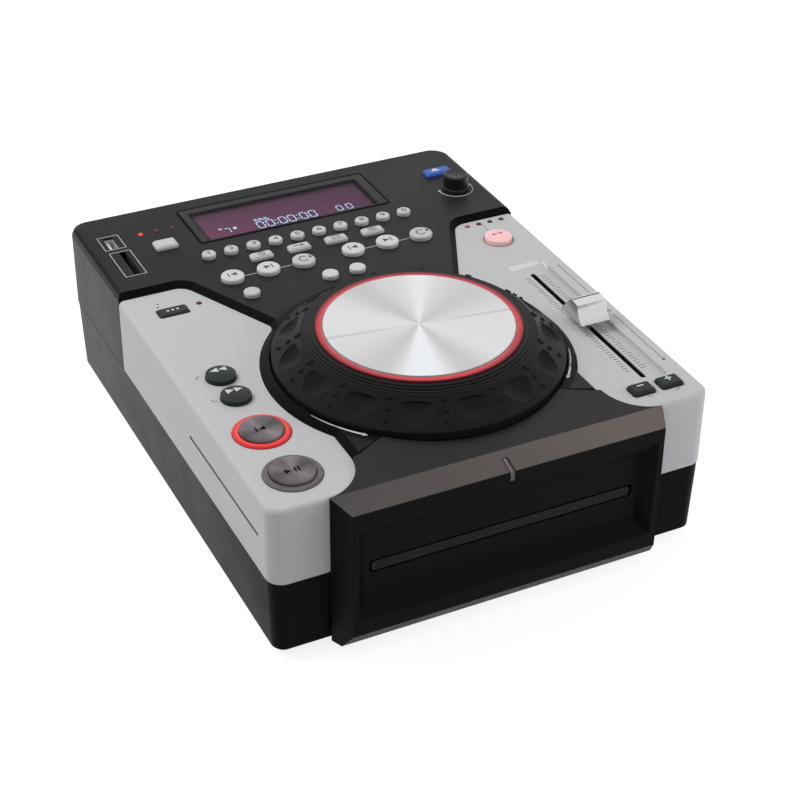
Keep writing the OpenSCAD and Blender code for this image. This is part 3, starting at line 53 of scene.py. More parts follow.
INK = 0.05                      # thickness of a printed mark
MARK_GAP = 0.004                # air between a mark and its surface
MAX_CUTS = 5                    # how often a mark's edges are halved on a curved face


def at(x, y, z):
    """Case millimetres to the frame's metres."""
    return Vector((x * MM, (y - MID_Y) * MM, z * MM))


# ---------------------------------------------------------------- materials

class Nodes:
    """A small builder for one node material."""

    def __init__(self, name):
        """A new material with a Principled shader, read by object coordinates."""
        self.mat = bpy.data.materials.new(name)
        self.mat.use_nodes = True
        self.tree = self.mat.node_tree
        self.tree.nodes.clear()
        self.out = self.node("ShaderNodeOutputMaterial")
        self.shader = self.node("ShaderNodeBsdfPrincipled")
        self.link(self.shader.outputs[0], self.out.inputs["Surface"])
        self.coord = self.node("ShaderNodeTexCoord")

    def node(self, kind, **values):
        made = self.tree.nodes.new(kind)
        for key, value in values.items():
            setattr(made, key, value)
        return made

    def link(self, a, b):
        self.tree.links.new(a, b)

    def set(self, **values):
        """Numbers and colours on the shader's own sockets."""
        for key, value in values.items():
            self.shader.inputs[key.replace("_", " ")].default_value = value

    def noise(self, scale, detail=3.0, rough=0.55, stretch=None):
        source = self.coord.outputs["Object"]
        if stretch:
            mapping = self.node("ShaderNodeMapping")
            mapping.inputs["Scale"].default_value = stretch
            self.link(source, mapping.inputs["Vector"])
            source = mapping.outputs[0]
        tex = self.node("ShaderNodeTexNoise")
        tex.inputs["Scale"].default_value = scale
        tex.inputs["Detail"].default_value = detail
        tex.inputs["Roughness"].default_value = rough
        self.link(source, tex.inputs["Vector"])
        return tex.outputs["Fac"]

    def ramp(self, value, low, high, at_low=0.35, at_high=0.65):
        """Maps a value, clamped, to a number between low and high."""
        made = self.node("ShaderNodeMapRange")
        for name, number in (("From Min", at_low), ("From Max", at_high), ("To Min", low), ("To Max", high)):
            made.inputs[name].default_value = number
        self.link(value, made.inputs["Value"])
        return made.outputs[0]

    def mix(self, factor, a, b):
        """Mixes two colours, each a tuple or a socket."""
        made = self.node("ShaderNodeMix", data_type="RGBA")
        self.link(factor, made.inputs[0])
        for socket, value in ((made.inputs[6], a), (made.inputs[7], b)):
            if isinstance(value, tuple):
                socket.default_value = (*value, 1.0)
            else:
                self.link(value, socket)
        return made.outputs[2]

    def math(self, kind, a, b=0.0):
        """Arithmetic on one or two numbers or sockets."""
        made = self.node("ShaderNodeMath", operation=kind)
        for socket, value in ((made.inputs[0], a), (made.inputs[1], b)):
            if isinstance(value, (int, float)):
                socket.default_value = value
            else:
                self.link(value, socket)
        return made.outputs[0]

    def bump(self, height, strength, distance):
        made = self.node("ShaderNodeBump")
        made.inputs["Strength"].default_value = strength
        made.inputs["Distance"].default_value = distance
        self.link(height, made.inputs["Height"])
        self.link(made.outputs[0], self.shader.inputs["Normal"])

    def colour(self, socket):
        self.link(socket, self.shader.inputs["Base Color"])

    def roughness(self, socket):
        self.link(socket, self.shader.inputs["Roughness"])

    def axis(self, name):
        """One object coordinate, in metres."""
        split = self.node("ShaderNodeSeparateXYZ")
        self.link(self.coord.outputs["Object"], split.inputs[0])
        return split.outputs[name]

    def normal(self, name):
        """One part of the surface's own direction."""
        split = self.node("ShaderNodeSeparateXYZ")
        self.link(self.coord.outputs["Normal"], split.inputs[0])
        return split.outputs[name]

    def offset(self, x, y):
        """Distance along X and Y from a point given in case millimetres, in metres."""
        centre = at(x, y, 0)
        dx = self.math("SUBTRACT", self.axis("X"), centre.x)
        dy = self.math("SUBTRACT", self.axis("Y"), centre.y)
        return dx, dy

    def behind(self, y0, y1):
        """0 in front of y0, 1 behind y1, both in case millimetres."""
        return self.ramp(self.axis("Y"), 0.0, 1.0, at(0, y0, 0).y, at(0, y1, 0).y)

    def radius(self, x, y):
        """Distance in the plane from a point given in case millimetres, in millimetres."""
        dx, dy = self.offset(x, y)
        square = self.math("ADD", self.math("MULTIPLY", dx, dx), self.math("MULTIPLY", dy, dy))
        return self.math("MULTIPLY", self.math("SQRT", square), 1000.0)

    def fan(self, x, y, beams):
        """Sum of beams round a point: (direction in degrees, sharpness, height, both ways)."""
        dx, dy = self.offset(x, y)
        angle = self.math("ARCTAN2", dy, dx)
        total = 0.0
        for direction, sharp, height, both in beams:
            turn = self.math("COSINE", self.math("SUBTRACT", angle, math.radians(direction)))
            turn = self.math("ABSOLUTE", turn) if both else self.math("MAXIMUM", turn, 0.0)
            total = self.math("ADD", self.math("MULTIPLY", self.math("POWER", turn, sharp), height), total)
        return total

    def inside(self, x0, x1, y0, y1, soft=0.4):
        """1 inside a rectangle of case millimetres, 0 outside, over a soft edge."""
        low, high = at(x0, y0, 0), at(x1, y1, 0)
        s = soft * MM
        value = self.ramp(self.axis("X"), 0.0, 1.0, low.x - s, low.x)
        value = self.math("MULTIPLY", value, self.ramp(self.axis("X"), 1.0, 0.0, high.x, high.x + s))
        value = self.math("MULTIPLY", value, self.ramp(self.axis("Y"), 0.0, 1.0, low.y - s, low.y))
        return self.math("MULTIPLY", value, self.ramp(self.axis("Y"), 1.0, 0.0, high.y, high.y + s))


def plastic(name, colour, rough, grain, depth, spread, specular=0.3):
    """Moulded or painted plastic: fine grain, slow faint variation of colour and gloss."""
    m = Nodes(name)
    dark = tuple(c * (1 - spread) for c in colour)
    light = tuple(min(1.0, c * (1 + spread)) for c in colour)
    slow = m.noise(9.0, 2.0)
    fine = m.noise(grain, 2.0)
    blend = m.math("ADD", m.math("MULTIPLY", slow, 0.5), m.math("MULTIPLY", fine, 0.5))
    m.colour(m.mix(m.ramp(blend, 0.0, 1.0), dark, light))
    m.roughness(m.ramp(m.noise(30.0, 3.0), rough - 0.03, rough + 0.03))
    m.bump(fine, depth, 0.0001)
    m.set(Specular_IOR_Level=specular)
    return m


def glowing(name, colour, glow, strength, rough):
    """Lit translucent plastic."""
    m = Nodes(name)
    slow = m.noise(160.0, 3.0)
    dark = tuple(c * 0.9 for c in colour)
    m.colour(m.mix(m.ramp(slow, 0.0, 1.0), dark, colour))
    m.roughness(m.ramp(m.noise(700.0, 2.0), rough - 0.05, rough + 0.08))
    m.set(Emission_Color=(*glow, 1.0), Emission_Strength=strength, Specular_IOR_Level=0.3)
    return m


def metal(name, colour, rough):
    """Rolled or plated metal with fine streaks."""
    m = Nodes(name)
    streak = m.noise(300.0, 4.0, 0.6, (1.0, 12.0, 1.0))
    m.colour(m.mix(m.ramp(streak, 0.0, 1.0), tuple(c * 0.85 for c in colour), colour))
    m.roughness(m.ramp(streak, rough - 0.06, rough + 0.1))
    m.bump(streak, 0.08, 0.00005)
    m.set(Metallic=1.0)
    return m


def black_shell(name, top, low, painted_sheen_grey):
    """Black paint or moulding with painted light and a painted sheen: faces that look up are lighter than
    walls and slopes, less so in the jog well and towards the left, and the left wall greys towards the rear.
    """
    m = Nodes(name)
    slow = m.noise(8.0, 2.0)
    fine = m.noise(2600.0, 2.0)
    wall = m.ramp(m.normal("X"), 1.0, 0.0, -0.9, -0.6)
    rear = m.behind(10, 285)
    # painted light: faces that look up take the lighter colour, walls and slopes the darker one; less so in
    # the jog well and towards the left
    rise = m.ramp(m.normal("Z"), 0.0, 1.0, 0.8, 0.97)
    well = m.ramp(m.radius(*JOG), 0.0, 1.0, 77.0, 78.2)
    rise = m.math("MULTIPLY", rise, m.ramp(well, 0.3, 1.0, 0.0, 1.0))
    left = m.ramp(m.axis("X"), 0.40, 1.0, -0.1, 0.08)
    plain = m.mix(m.math("MULTIPLY", rise, left), low, top)
    seam = m.ramp(m.math("ABSOLUTE", m.math("SUBTRACT", m.axis("Z"), SEAM_Z * MM)), 1.0, 0.0, 0.00035, 0.0006)
    # painted sheen: the left wall greys towards the rear
    shade = m.math("MULTIPLY", m.math("MULTIPLY", rear, rear), wall)
    grey = m.mix(seam, m.mix(shade, plain, painted_sheen_grey), (0.0, 0.0, 0.0))
    wall_gloss = m.math("MULTIPLY", wall, m.ramp(rear, 0.0, 0.08, 0.0, 1.0))
    gloss = m.math("ADD", m.math("ADD", wall_gloss, m.math("MULTIPLY", rise, 0.09)), 0.035)
    m.set(Specular_IOR_Level=0.1)
    m.link(m.math("MULTIPLY", gloss, m.math("SUBTRACT", 1.0, seam)), m.shader.inputs["Specular IOR Level"])
    blend = m.math("ADD", m.math("MULTIPLY", slow, 0.5), m.math("MULTIPLY", fine, 0.5))
    m.colour(m.mix(m.ramp(blend, 0.0, 0.16), grey, (0.0, 0.0, 0.0)))
    m.roughness(m.ramp(m.noise(30.0, 3.0), 0.40, 0.46))
    m.bump(fine, 0.12, 0.0001)
    return m


def rim_material():
    """Rubber of the jog wheel: satin slope, finely turned collar."""
    m = Nodes("jog_rubber")
    r = m.radius(*JOG)
    fine = m.noise(1500.0, 2.0)
    slow = m.noise(40.0, 3.0)
    collar = m.ramp(r, 1.0, 0.0, 56.2, 56.8)
    rubber = m.mix(m.ramp(slow, 0.0, 1.0), (0.0066, 0.0061, 0.0061), (0.0086, 0.0081, 0.0081))
    m.colour(m.mix(collar, rubber, (0.017, 0.016, 0.0165)))
    m.roughness(m.ramp(m.noise(90.0, 3.0), 0.38, 0.46))
    groove = m.math("MULTIPLY", m.math("SINE", m.math("MULTIPLY", r, 9.0)), collar)
    height = m.math("ADD", m.math("MULTIPLY", groove, 0.8), m.math("MULTIPLY", fine, 0.5))
    m.bump(height, 0.3, 0.00014)
    m.set(Specular_IOR_Level=0.11)
    return m


def plate_material():
    """Spun aluminium with painted highlights and painted shade: light and grey sectors fan out from the
    middle, a bluish painted reflection lies towards the front, and the sloping edge is painted darker and
    reddish.
    """
    m = Nodes("jog_plate_spun")
    r = m.radius(*JOG)
    ring = m.node("ShaderNodeTexNoise", noise_dimensions="1D")
    ring.inputs["Scale"].default_value = 9.0
    ring.inputs["Detail"].default_value = 6.0
    m.link(r, ring.inputs["W"])
    turned = ring.outputs["Fac"]
    # painted highlights and painted shade: light and grey sectors round the middle
    painted_fan_light = m.fan(*JOG, ((-112, 30.0, 0.9, False), (64, 60.0, 0.6, True), (150, 6.0, 0.35, False),
                         (-30, 6.0, 0.3, False), (107, 22.0, -0.62, False), (25, 16.0, -0.5, False),
                         (-142, 20.0, -0.5, False), (-86, 26.0, -0.55, False), (-8.5, 5000.0, -0.9, False),
                         (172.5, 3000.0, -0.8, False), (-62, 30.0, 0.2, False)))
    level = m.math("ADD", painted_fan_light, m.ramp(turned, -0.06, 0.06))
    colour = m.mix(m.ramp(level, 0.0, 1.0, -0.75, 0.75), (0.54, 0.54, 0.53), (0.86, 0.86, 0.865))
    # painted reflection: bluish towards the front
    painted_cool_reflection = m.fan(*JOG, ((-112, 60.0, 1.0, False),))
    face = m.mix(m.math("MULTIPLY", painted_cool_reflection, 0.6), colour, (0.86, 0.90, 0.97))
    # painted shade: the sloping outer edge is darker and reddish
    edge = m.ramp(m.normal("Z"), 1.0, 0.0, 0.9, 0.98)
    m.colour(m.mix(edge, face, (0.36, 0.30, 0.30)))
    m.roughness(m.math("ADD", m.ramp(turned, 0.30, 0.38), m.math("MULTIPLY", edge, 0.4)))
    m.bump(turned, 0.05, 0.00002)
    tangent = m.node("ShaderNodeTangent", direction_type="RADIAL", axis="Z")
    m.link(tangent.outputs[0], m.shader.inputs["Tangent"])
    m.set(Metallic=0.55, Anisotropic=0.7, Specular_IOR_Level=0.3)
    return m


def jog_ring_material():
    """Red light guide round the plate: bright inner lip, darker and duller outside, and a painted highlight
    towards the front.
    """
    m = Nodes("jog_ring_red")
    r = m.radius(*JOG)
    slow = m.noise(30.0, 2.0)
    # painted highlight: lighter towards the front and two other directions
    front = m.fan(*JOG, ((-105, 5.0, 1.0, False), (-25, 14.0, 0.6, False), (160, 8.0, 0.5, False)))
    band = m.ramp(r, 0.0, 1.0, 47.9, 49.0)
    outer = m.ramp(r, 0.0, 1.0, 49.4, 50.5)
    lit = m.mix(front, (0.36, 0.022, 0.035), (0.72, 0.035, 0.04))
    inner = m.mix(m.ramp(slow, 0.0, 1.0), (0.50, 0.065, 0.08), (0.60, 0.11, 0.12))
    base = m.mix(outer, m.mix(band, inner, lit), (0.10, 0.010, 0.014))
    m.colour(base)
    m.roughness(m.ramp(m.noise(400.0, 2.0), 0.2, 0.28))
    m.link(base, m.shader.inputs["Emission Color"])
    m.set(Emission_Strength=0.12, Specular_IOR_Level=0.22)
    return m


def cap_material():
    """Smoky spun chrome caps of the two large transport keys, with painted highlights and painted shade
    fanning out on each cap.
    """
    m = Nodes("transport_cap_smoke")
    # painted highlights and painted shade fanning round each cap's middle
    cue = m.fan(TRANSPORT_X, CUE_Y, ((-60, 9.0, 0.9, False), (112, 10.0, 0.8, False),
                                     (20, 14.0, -0.5, True), (160, 40.0, 0.35, False)))
    play = m.fan(TRANSPORT_X, PLAY_Y, ((-60, 12.0, 0.6, False), (75, 14.0, 0.9, False),
                                       (15, 14.0, -0.5, True), (150, 24.0, 0.3, False)))
    is_cue = m.behind(*BETWEEN_KEYS)
    painted_fan_light = m.math("ADD", m.math("MULTIPLY", cue, is_cue),
                   m.math("MULTIPLY", play, m.math("SUBTRACT", 1.0, is_cue)))
    streak = m.noise(420.0, 3.0, 0.6, (1.0, 0.6, 1.0))
    level = m.math("ADD", painted_fan_light, m.ramp(streak, -0.12, 0.12))
    colour = m.mix(m.ramp(level, 0.0, 1.0, -0.5, 0.9), (0.078, 0.064, 0.070), (0.235, 0.205, 0.222))
    m.colour(colour)
    m.roughness(m.ramp(m.noise(300.0, 2.0), 0.34, 0.40))
    m.bump(streak, 0.03, 0.00003)
    m.set(Metallic=0.35, Specular_IOR_Level=0.35)
    return m


def fader_material():
    """Bright satin metal-look plastic of the fader cap."""
    m = Nodes("fader_silver")
    fine = m.noise(260.0, 2.0, 0.5, (0.1, 1.0, 1.0))
    tone = m.mix(m.ramp(fine, 0.0, 1.0), (0.67, 0.67, 0.675), (0.71, 0.71, 0.715))
    low = m.ramp(m.axis("Z"), 1.0, 0.0, 0.0895, 0.0925)
    m.colour(m.mix(low, tone, (0.58, 0.58, 0.585)))
    m.roughness(m.ramp(fine, 0.24, 0.28))
    m.set(Metallic=0.75)
    return m


def panel_material():
    """Silver paint with a faint metallic grain; painted light makes the right panel's front face lighter and
    the ramp at the head of the fader pocket whiter, and painted shade darkens the left groove and the fader's
    slot walls.
    """
    m = Nodes("panel_silver_paint")
    slow = m.noise(7.0, 2.0)
    fine = m.noise(3800.0, 2.0)
    blend = m.math("ADD", m.math("MULTIPLY", slow, 0.4), m.math("MULTIPLY", fine, 0.6))
    base = m.mix(m.ramp(blend, 0.0, 1.0), (0.555, 0.553, 0.556), (0.585, 0.583, 0.586))
    # painted light: the front face of the right panel is painted lighter
    side = m.ramp(m.normal("Z"), 1.0, 0.0, 0.4, 0.9)
    front = m.math("MULTIPLY", side, m.inside(70.0, 118.0, -8.0, 12.0, 1.0))
    base = m.mix(front, base, (0.70, 0.70, 0.72))
    # painted highlight: the ramp at the head of the fader pocket is painted whiter
    sloping = m.ramp(m.normal("Z"), 1.0, 0.0, 0.9, 0.97)
    ramp_end = m.math("MULTIPLY", m.inside(83.2, 104.2, 140.5, 149.0), sloping)
    pocket = m.math("MULTIPLY", ramp_end, m.ramp(m.axis("Z"), 0.0, 1.0, 0.0825, 0.0835))
    colour = m.mix(pocket, base, (0.92, 0.92, 0.92))
    # painted shade: the groove along the left side is painted dark
    groove = m.ramp(m.math("ABSOLUTE", m.math("SUBTRACT", m.axis("Z"), 0.0648)), 1.0, 0.0, 0.0009, 0.0011)
    groove = m.math("MULTIPLY", groove, m.inside(-116.0, -112.0, 14.9, 100.3, 0.1))
    colour = m.mix(groove, colour, (0.12, 0.118, 0.115))
    # painted shade: the walls of the fader's slot are painted near black
    under_floor = m.ramp(m.axis("Z"), 1.0, 0.0, 0.0835, 0.0838)
    slot = m.math("MULTIPLY", m.inside(92.0, 95.4, 25.0, 140.0, 0.1), under_floor)
    m.colour(m.mix(slot, colour, (0.012, 0.012, 0.012)))
    m.roughness(m.ramp(m.noise(30.0, 3.0), 0.48, 0.54))
    m.bump(fine, 0.05, 0.0001)
    m.set(Metallic=0.1, Specular_IOR_Level=0.15)
    return m


def fascia_material():
    """Black moulding with a glossy bronze strip along the sloping top edge; painted light makes tilted faces
    a little lighter and the strip lighter towards the right.
    """
    m = Nodes("fascia_black_bronze")
    facing = m.ramp(m.normal("Z"), 0.0, 1.0, 0.55, 0.75)
    front_of = m.math("SUBTRACT", 1.0, m.behind(0.0, 0.3))
    above = m.ramp(m.axis("Z"), 0.0, 1.0, 0.0795, 0.0800)
    upper = m.math("MULTIPLY", facing, above)
    strip = m.math("MULTIPLY", upper, front_of)
    top = m.math("MULTIPLY", upper, m.math("SUBTRACT", 1.0, front_of))
    fine = m.noise(2600.0, 2.0)
    slow = m.noise(9.0, 2.0)
    black = m.mix(m.ramp(slow, 0.0, 1.0), (0.0030, 0.0030, 0.0030), (0.0040, 0.0038, 0.0038))
    # painted light: faces that tilt up or down are a little lighter than upright ones
    slope = m.ramp(m.math("ABSOLUTE", m.normal("Z")), 0.0, 1.0, 0.1, 0.5)
    black = m.mix(slope, black, (0.0052, 0.0050, 0.0050))
    plate = m.mix(m.ramp(slow, 0.0, 1.0), (0.020, 0.019, 0.0195), (0.024, 0.023, 0.0235))
    # painted light: the bronze strip is darker at the left and lighter at the right
    along = m.ramp(m.axis("X"), 0.0, 1.0, -0.075, 0.06)
    bronze = m.mix(along, (0.062, 0.058, 0.058), (0.143, 0.121, 0.110))
    cloud = m.noise(14.0, 3.0, 0.5, (1.0, 3.0, 3.0))
    bronze = m.mix(m.ramp(cloud, 0.0, 0.3, 0.4, 0.7), bronze, (0.155, 0.130, 0.117))
    m.colour(m.mix(strip, m.mix(top, black, plate), bronze))
    m.roughness(m.math("SUBTRACT", m.ramp(m.noise(60.0, 3.0), 0.4, 0.46), m.math("MULTIPLY", strip, 0.15)))
    m.bump(m.math("MULTIPLY", fine, m.math("SUBTRACT", 1.0, strip)), 0.1, 0.0001)
    m.set(Specular_IOR_Level=0.1)
    gloss = m.math("ADD", m.math("MULTIPLY", strip, 0.10), m.math("MULTIPLY", top, 0.11))
    m.link(m.math("ADD", gloss, 0.05), m.shader.inputs["Specular IOR Level"])
    return m


def ring_material():
    """Light rings of the two large keys: the rear one glows red, the front one is unlit grey."""
    m = Nodes("transport_rings")
    lit = m.behind(*BETWEEN_KEYS)
    slow = m.noise(200.0, 3.0)
    r = m.radius(TRANSPORT_X, CUE_Y)
    grey = m.mix(m.ramp(slow, 0.0, 1.0), (0.115, 0.108, 0.098), (0.150, 0.142, 0.130))
    red = m.mix(m.ramp(r, 0.0, 1.0, 11.6, 12.6), (0.92, 0.09, 0.06), (0.70, 0.030, 0.034))
    red = m.mix(m.ramp(r, 0.0, 1.0, 13.1, 13.8), red, (0.46, 0.022, 0.026))
    m.colour(m.mix(lit, grey, red))
    m.link(m.mix(lit, (0.0, 0.0, 0.0), red), m.shader.inputs["Emission Color"])
    m.roughness(m.ramp(m.noise(600.0, 2.0), 0.28, 0.4))
    m.set(Emission_Strength=0.22, Specular_IOR_Level=0.3)
    return m


def lamp_material():
    """Small lamps: the first deck lamp is lit, the light pipe is clear and dark with a painted highlight
    along its left part, the rest are dark red.
    """
    m = Nodes("indicator_lamps")
    lit = m.ramp(m.radius(-82.4, 257.8), 1.0, 0.0, 3.0, 4.0)
    warm = m.ramp(m.radius(85.3, 196), 1.0, 0.0, 3.0, 4.0)
    pipe = m.math("SUBTRACT", 1.0, m.behind(-1, 1))
    slow = m.noise(900.0, 2.0)
    dark = m.mix(m.ramp(slow, 0.0, 1.0), (0.085, 0.008, 0.012), (0.12, 0.014, 0.018))
    colour = m.mix(warm, m.mix(lit, dark, (0.80, 0.05, 0.03)), (0.5, 0.05, 0.06))
    # painted highlight: a light band along the left of the pipe
    edge = m.ramp(m.axis("X"), 0.0, 1.0, at(-1.1, 0, 0).x, at(-0.7, 0, 0).x)
    clear = m.mix(edge, (0.17, 0.16, 0.15), (0.02, 0.019, 0.018))
    front = m.ramp(m.axis("Z"), 1.0, 0.0, 0.0805, 0.0815)
    m.colour(m.mix(pipe, colour, m.mix(front, clear, (0.085, 0.075, 0.070))))
    glow = m.mix(lit, m.mix(warm, (0.0, 0.0, 0.0), (0.12, 0.01, 0.01)), (1.0, 0.06, 0.03))
    m.link(glow, m.shader.inputs["Emission Color"])
    m.roughness(m.ramp(slow, 0.15, 0.22))
    m.set(Emission_Strength=0.35, Coat_Weight=0.2, Coat_Roughness=0.08, Specular_IOR_Level=0.3)
    return m


def window_material():
    """Smoky window over the display, clear where the lit face lies under it."""
    m = Nodes("display_window_smoke")
    m.colour(m.mix(m.ramp(m.noise(25.0, 4.0), 0.0, 1.0), (0.013, 0.012, 0.0125), (0.017, 0.0155, 0.016)))
    m.roughness(m.ramp(m.noise(30.0, 3.0), 0.16, 0.2))
    clear = m.inside(-50.6, 49.4, 236.8, 268.0, 1.4)
    m.link(m.ramp(clear, 1.0, 0.30, 0.0, 1.0), m.shader.inputs["Alpha"])
    m.set(Specular_IOR_Level=0.14)
    m.mat.surface_render_method = "DITHERED"
    return m


def display_material():
    """Face of the display module: purple glow that warms towards the lower left."""
    m = Nodes("display_face_purple")
    x = m.ramp(m.axis("X"), 0.0, 1.0, at(-47, 0, 0).x, at(50, 0, 0).x)
    y = m.behind(241, 271)
    low = m.mix(x, (0.42, 0.10, 0.28), (0.22, 0.06, 0.185))
    high = m.mix(x, (0.19, 0.095, 0.135), (0.18, 0.075, 0.155))
    glow = m.mix(y, low, high)
    fine = m.noise(90.0, 3.0, 0.5, (0.3, 2.0, 1.0))
    glow = m.mix(m.ramp(fine, 0.0, 0.22), glow, (0.26, 0.11, 0.20))
    area = m.inside(-48.2, 48.8, 237.6, 271.8, 0.5)
    face = m.mix(area, (0.030, 0.026, 0.026), glow)
    m.colour(face)
    m.roughness(m.ramp(m.noise(200.0, 2.0), 0.35, 0.45))
    m.link(face, m.shader.inputs["Emission Color"])
    m.set(Emission_Strength=0.25, Specular_IOR_Level=0.1)
    return m


def board_material(name):
    """Circuit board, with painted shade darkening it where it shows through the window and the fader's slot.
    """
    m = Nodes(name)
    fine = m.noise(900.0, 2.0)
    green = m.mix(m.ramp(fine, 0.0, 1.0), (0.015, 0.085, 0.035), (0.022, 0.11, 0.045))
    # painted shade where the board shows through the window and the fader's slot
    painted_shade_mask = m.math("MAXIMUM", m.inside(-62, 62, 228, 280), m.inside(80, 108, 15, 150))
    m.colour(m.mix(painted_shade_mask, green, (0.008, 0.008, 0.008)))
    m.roughness(m.ramp(m.noise(100.0, 3.0), 0.36, 0.44))
    m.bump(fine, 0.1, 0.0001)
    m.set(Specular_IOR_Level=0.2)
    return m


def socket_material():
    """Bright shell of the USB socket; the card socket is dark."""
    m = Nodes("socket_metal")
    streak = m.noise(300.0, 3.0, 0.6, (1.0, 8.0, 1.0))
    usb = m.inside(-103.4, -96.4, 246.5, 263.0, 0.1)
    bright = m.mix(m.ramp(streak, 0.0, 1.0), (0.60, 0.59, 0.56), (0.72, 0.71, 0.68))
    m.colour(m.mix(usb, (0.010, 0.010, 0.010), bright))
    m.roughness(m.ramp(streak, 0.2, 0.3))
    m.bump(streak, 0.05, 0.00005)
    m.link(m.math("MULTIPLY", usb, 0.3), m.shader.inputs["Metallic"])
    return m


def ink(name, colour, rough=0.5, glow=0.0, specular=0.2):
    """Printing ink, or a lit figure where it glows."""
    m = Nodes(name)
    m.colour(m.mix(m.ramp(m.noise(2500.0, 2.0), 0.0, 1.0), tuple(c * 0.9 for c in colour), colour))
    m.roughness(m.ramp(m.noise(800.0, 2.0), rough - 0.05, rough + 0.05))
    m.set(Specular_IOR_Level=specular)
    if glow:
        m.set(Emission_Color=(*colour, 1.0), Emission_Strength=glow)
    return m


MATS = {
    # colours of faces that look up, of walls and slopes (these two differ by painted light), and of the
    # painted sheen on the left wall
    "case": black_shell("case_black_plastic",
                        (0.012, 0.012, 0.012), (0.0035, 0.0033, 0.0035), (0.040, 0.036, 0.035)),
    "deck": black_shell("deck_dark_paint",
                        (0.0200, 0.0190, 0.0193), (0.0040, 0.0038, 0.0038), (0.046, 0.042, 0.042)),
    "silver": panel_material(),
    "rubber": rim_material(),
    "plate": plate_material(),
    "jog_red": jog_ring_material(),
    "key_grey": plastic("key_grey_plastic", (0.56, 0.56, 0.565), 0.42, 2600.0, 0.05, 0.02),
    "key_dull": plastic("key_dull_plastic", (0.54, 0.54, 0.545), 0.42, 2600.0, 0.05, 0.02),
    "key_white": plastic("key_white_plastic", (0.64, 0.64, 0.635), 0.36, 2600.0, 0.05, 0.02),
    "key_black": plastic("key_black_rubber", (0.017, 0.0225, 0.0215), 0.42, 2200.0, 0.1, 0.08, specular=0.2),
    "key_blue": plastic("key_blue_plastic", (0.035, 0.115, 0.46), 0.35, 2600.0, 0.06, 0.06),
    "key_pink": glowing("key_pink_lit", (0.92, 0.58, 0.58), (1.0, 0.45, 0.45), 0.12, 0.4),
    "smoke": cap_material(),
    "knob": plastic("knob_black_plastic", (0.006, 0.006, 0.006), 0.35, 2000.0, 0.1, 0.1),
    "fader": fader_material(),
    "fascia": fascia_material(),
    "rings": ring_material(),
    "lamps": lamp_material(),
    "glass": window_material(),
    "display": display_material(),
    "metal": socket_material(),
    "steel": metal("drive_steel", (0.42, 0.42, 0.43), 0.35),
    "screw": metal("screw_zinc", (0.38, 0.38, 0.38), 0.35),
    "board": board_material("control_board_mask"),
    "mainboard": plastic("main_board_mask", (0.02, 0.11, 0.045), 0.4, 900.0, 0.1, 0.2),
    "drive": plastic("drive_dark_plastic", (0.014, 0.014, 0.015), 0.5, 1800.0, 0.15, 0.1, specular=0.15),
    "tray": plastic("tray_black_plastic", (0.0055, 0.0055, 0.0055), 0.42, 2200.0, 0.1, 0.08, specular=0.12),
    "gear": plastic("gear_ivory_plastic", (0.66, 0.62, 0.5), 0.45, 1500.0, 0.08, 0.05),
    "feet": plastic("foot_rubber", (0.012, 0.012, 0.012), 0.7, 1500.0, 0.2, 0.1, specular=0.1),
    "connector": plastic("connector_black", (0.012, 0.012, 0.012), 0.45, 2000.0, 0.12, 0.08),
    "ink_white": ink("ink_white", (0.70, 0.70, 0.71)),
    "ink_grey": ink("ink_grey", (0.36, 0.36, 0.36)),
    "ink_dark": ink("ink_dark", (0.045, 0.045, 0.047)),
    "ink_digit": ink("ink_digit", (0.075, 0.075, 0.075)),
    "ink_black": ink("ink_black", (0.003, 0.003, 0.003), 0.4, specular=0.02),
    "ink_crimson": ink("ink_crimson", (0.42, 0.06, 0.07)),
    "glow_digits": ink("display_digits", (0.45, 0.78, 0.95), 0.4, 1.7),
}

LOOKS = {
    "bottom_case": "case", "left_side_panel": "silver", "right_side_panel": "silver", "top_deck": "deck",
    "front_fascia": "fascia", "display_window": "glass", "indicator_lamps": "lamps", "media_sockets": "metal",
    "control_board": "board", "main_board": "mainboard", "rear_connectors": "connector",
    "power_switch": "connector", "feet": "feet", "case_screws": "screw", "jog_bearing": "steel",
    "jog_rim": "rubber", "jog_light_ring": "jog_red", "jog_plate": "plate", "pitch_fader_knob": "fader",
    "select_knob": "knob", "key_light_rings": "rings", "drive_chassis": "drive", "disc_tray": "tray",
    "loading_gear": "gear", "traverse_plate": "steel", "turntable": "steel", "laser_sled": "drive",
    "eject_key": "key_blue", "pitch_key": "key_pink", "cue_key": "smoke", "play_key": "smoke",
    "mode_key": "key_black", "search_back_key": "key_black", "search_forward_key": "key_black",
    "pitch_minus_key": "key_black", "pitch_plus_key": "key_black",
    "loop_in_key_1": "key_white", "loop_out_key_1": "key_white", "loop_exit_key_1": "key_dull",
    "loop_in_key_2": "key_white", "loop_out_key_2": "key_white", "loop_exit_key_2": "key_dull",
    "memory_key_1": "key_white", "memory_key_2": "key_white",
}

# the keys that have no look of their own are grey
for name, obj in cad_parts.items():
    look = MATS[LOOKS.get(name, "key_grey")].mat
    for i in range(max(1, len(obj.material_slots))):
        if i < len(obj.material_slots):
            obj.material_slots[i].material = look
        else:
            obj.data.materials.append(look)


# ---------------------------------------------------------------- printed marks

def surface(name):
    """Gives a function for the height of a CAD piece's top at a place, in case millimetres."""
    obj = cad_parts[name]
    verts = [obj.matrix_world @ v.co for v in obj.data.vertices]
    tree = BVHTree.FromPolygons(verts, [list(p.vertices) for p in obj.data.polygons])

    def height(x, y):
        hit = tree.ray_cast(at(x, y, 200), Vector((0, 0, -1)))[0]
        return None if hit is None else hit.z / MM
    return height


def polar(c, r, degrees):
    """The point at a distance and a direction from c."""
    a = math.radians(degrees)
    return c[0] + r * math.cos(a), c[1] + r * math.sin(a)


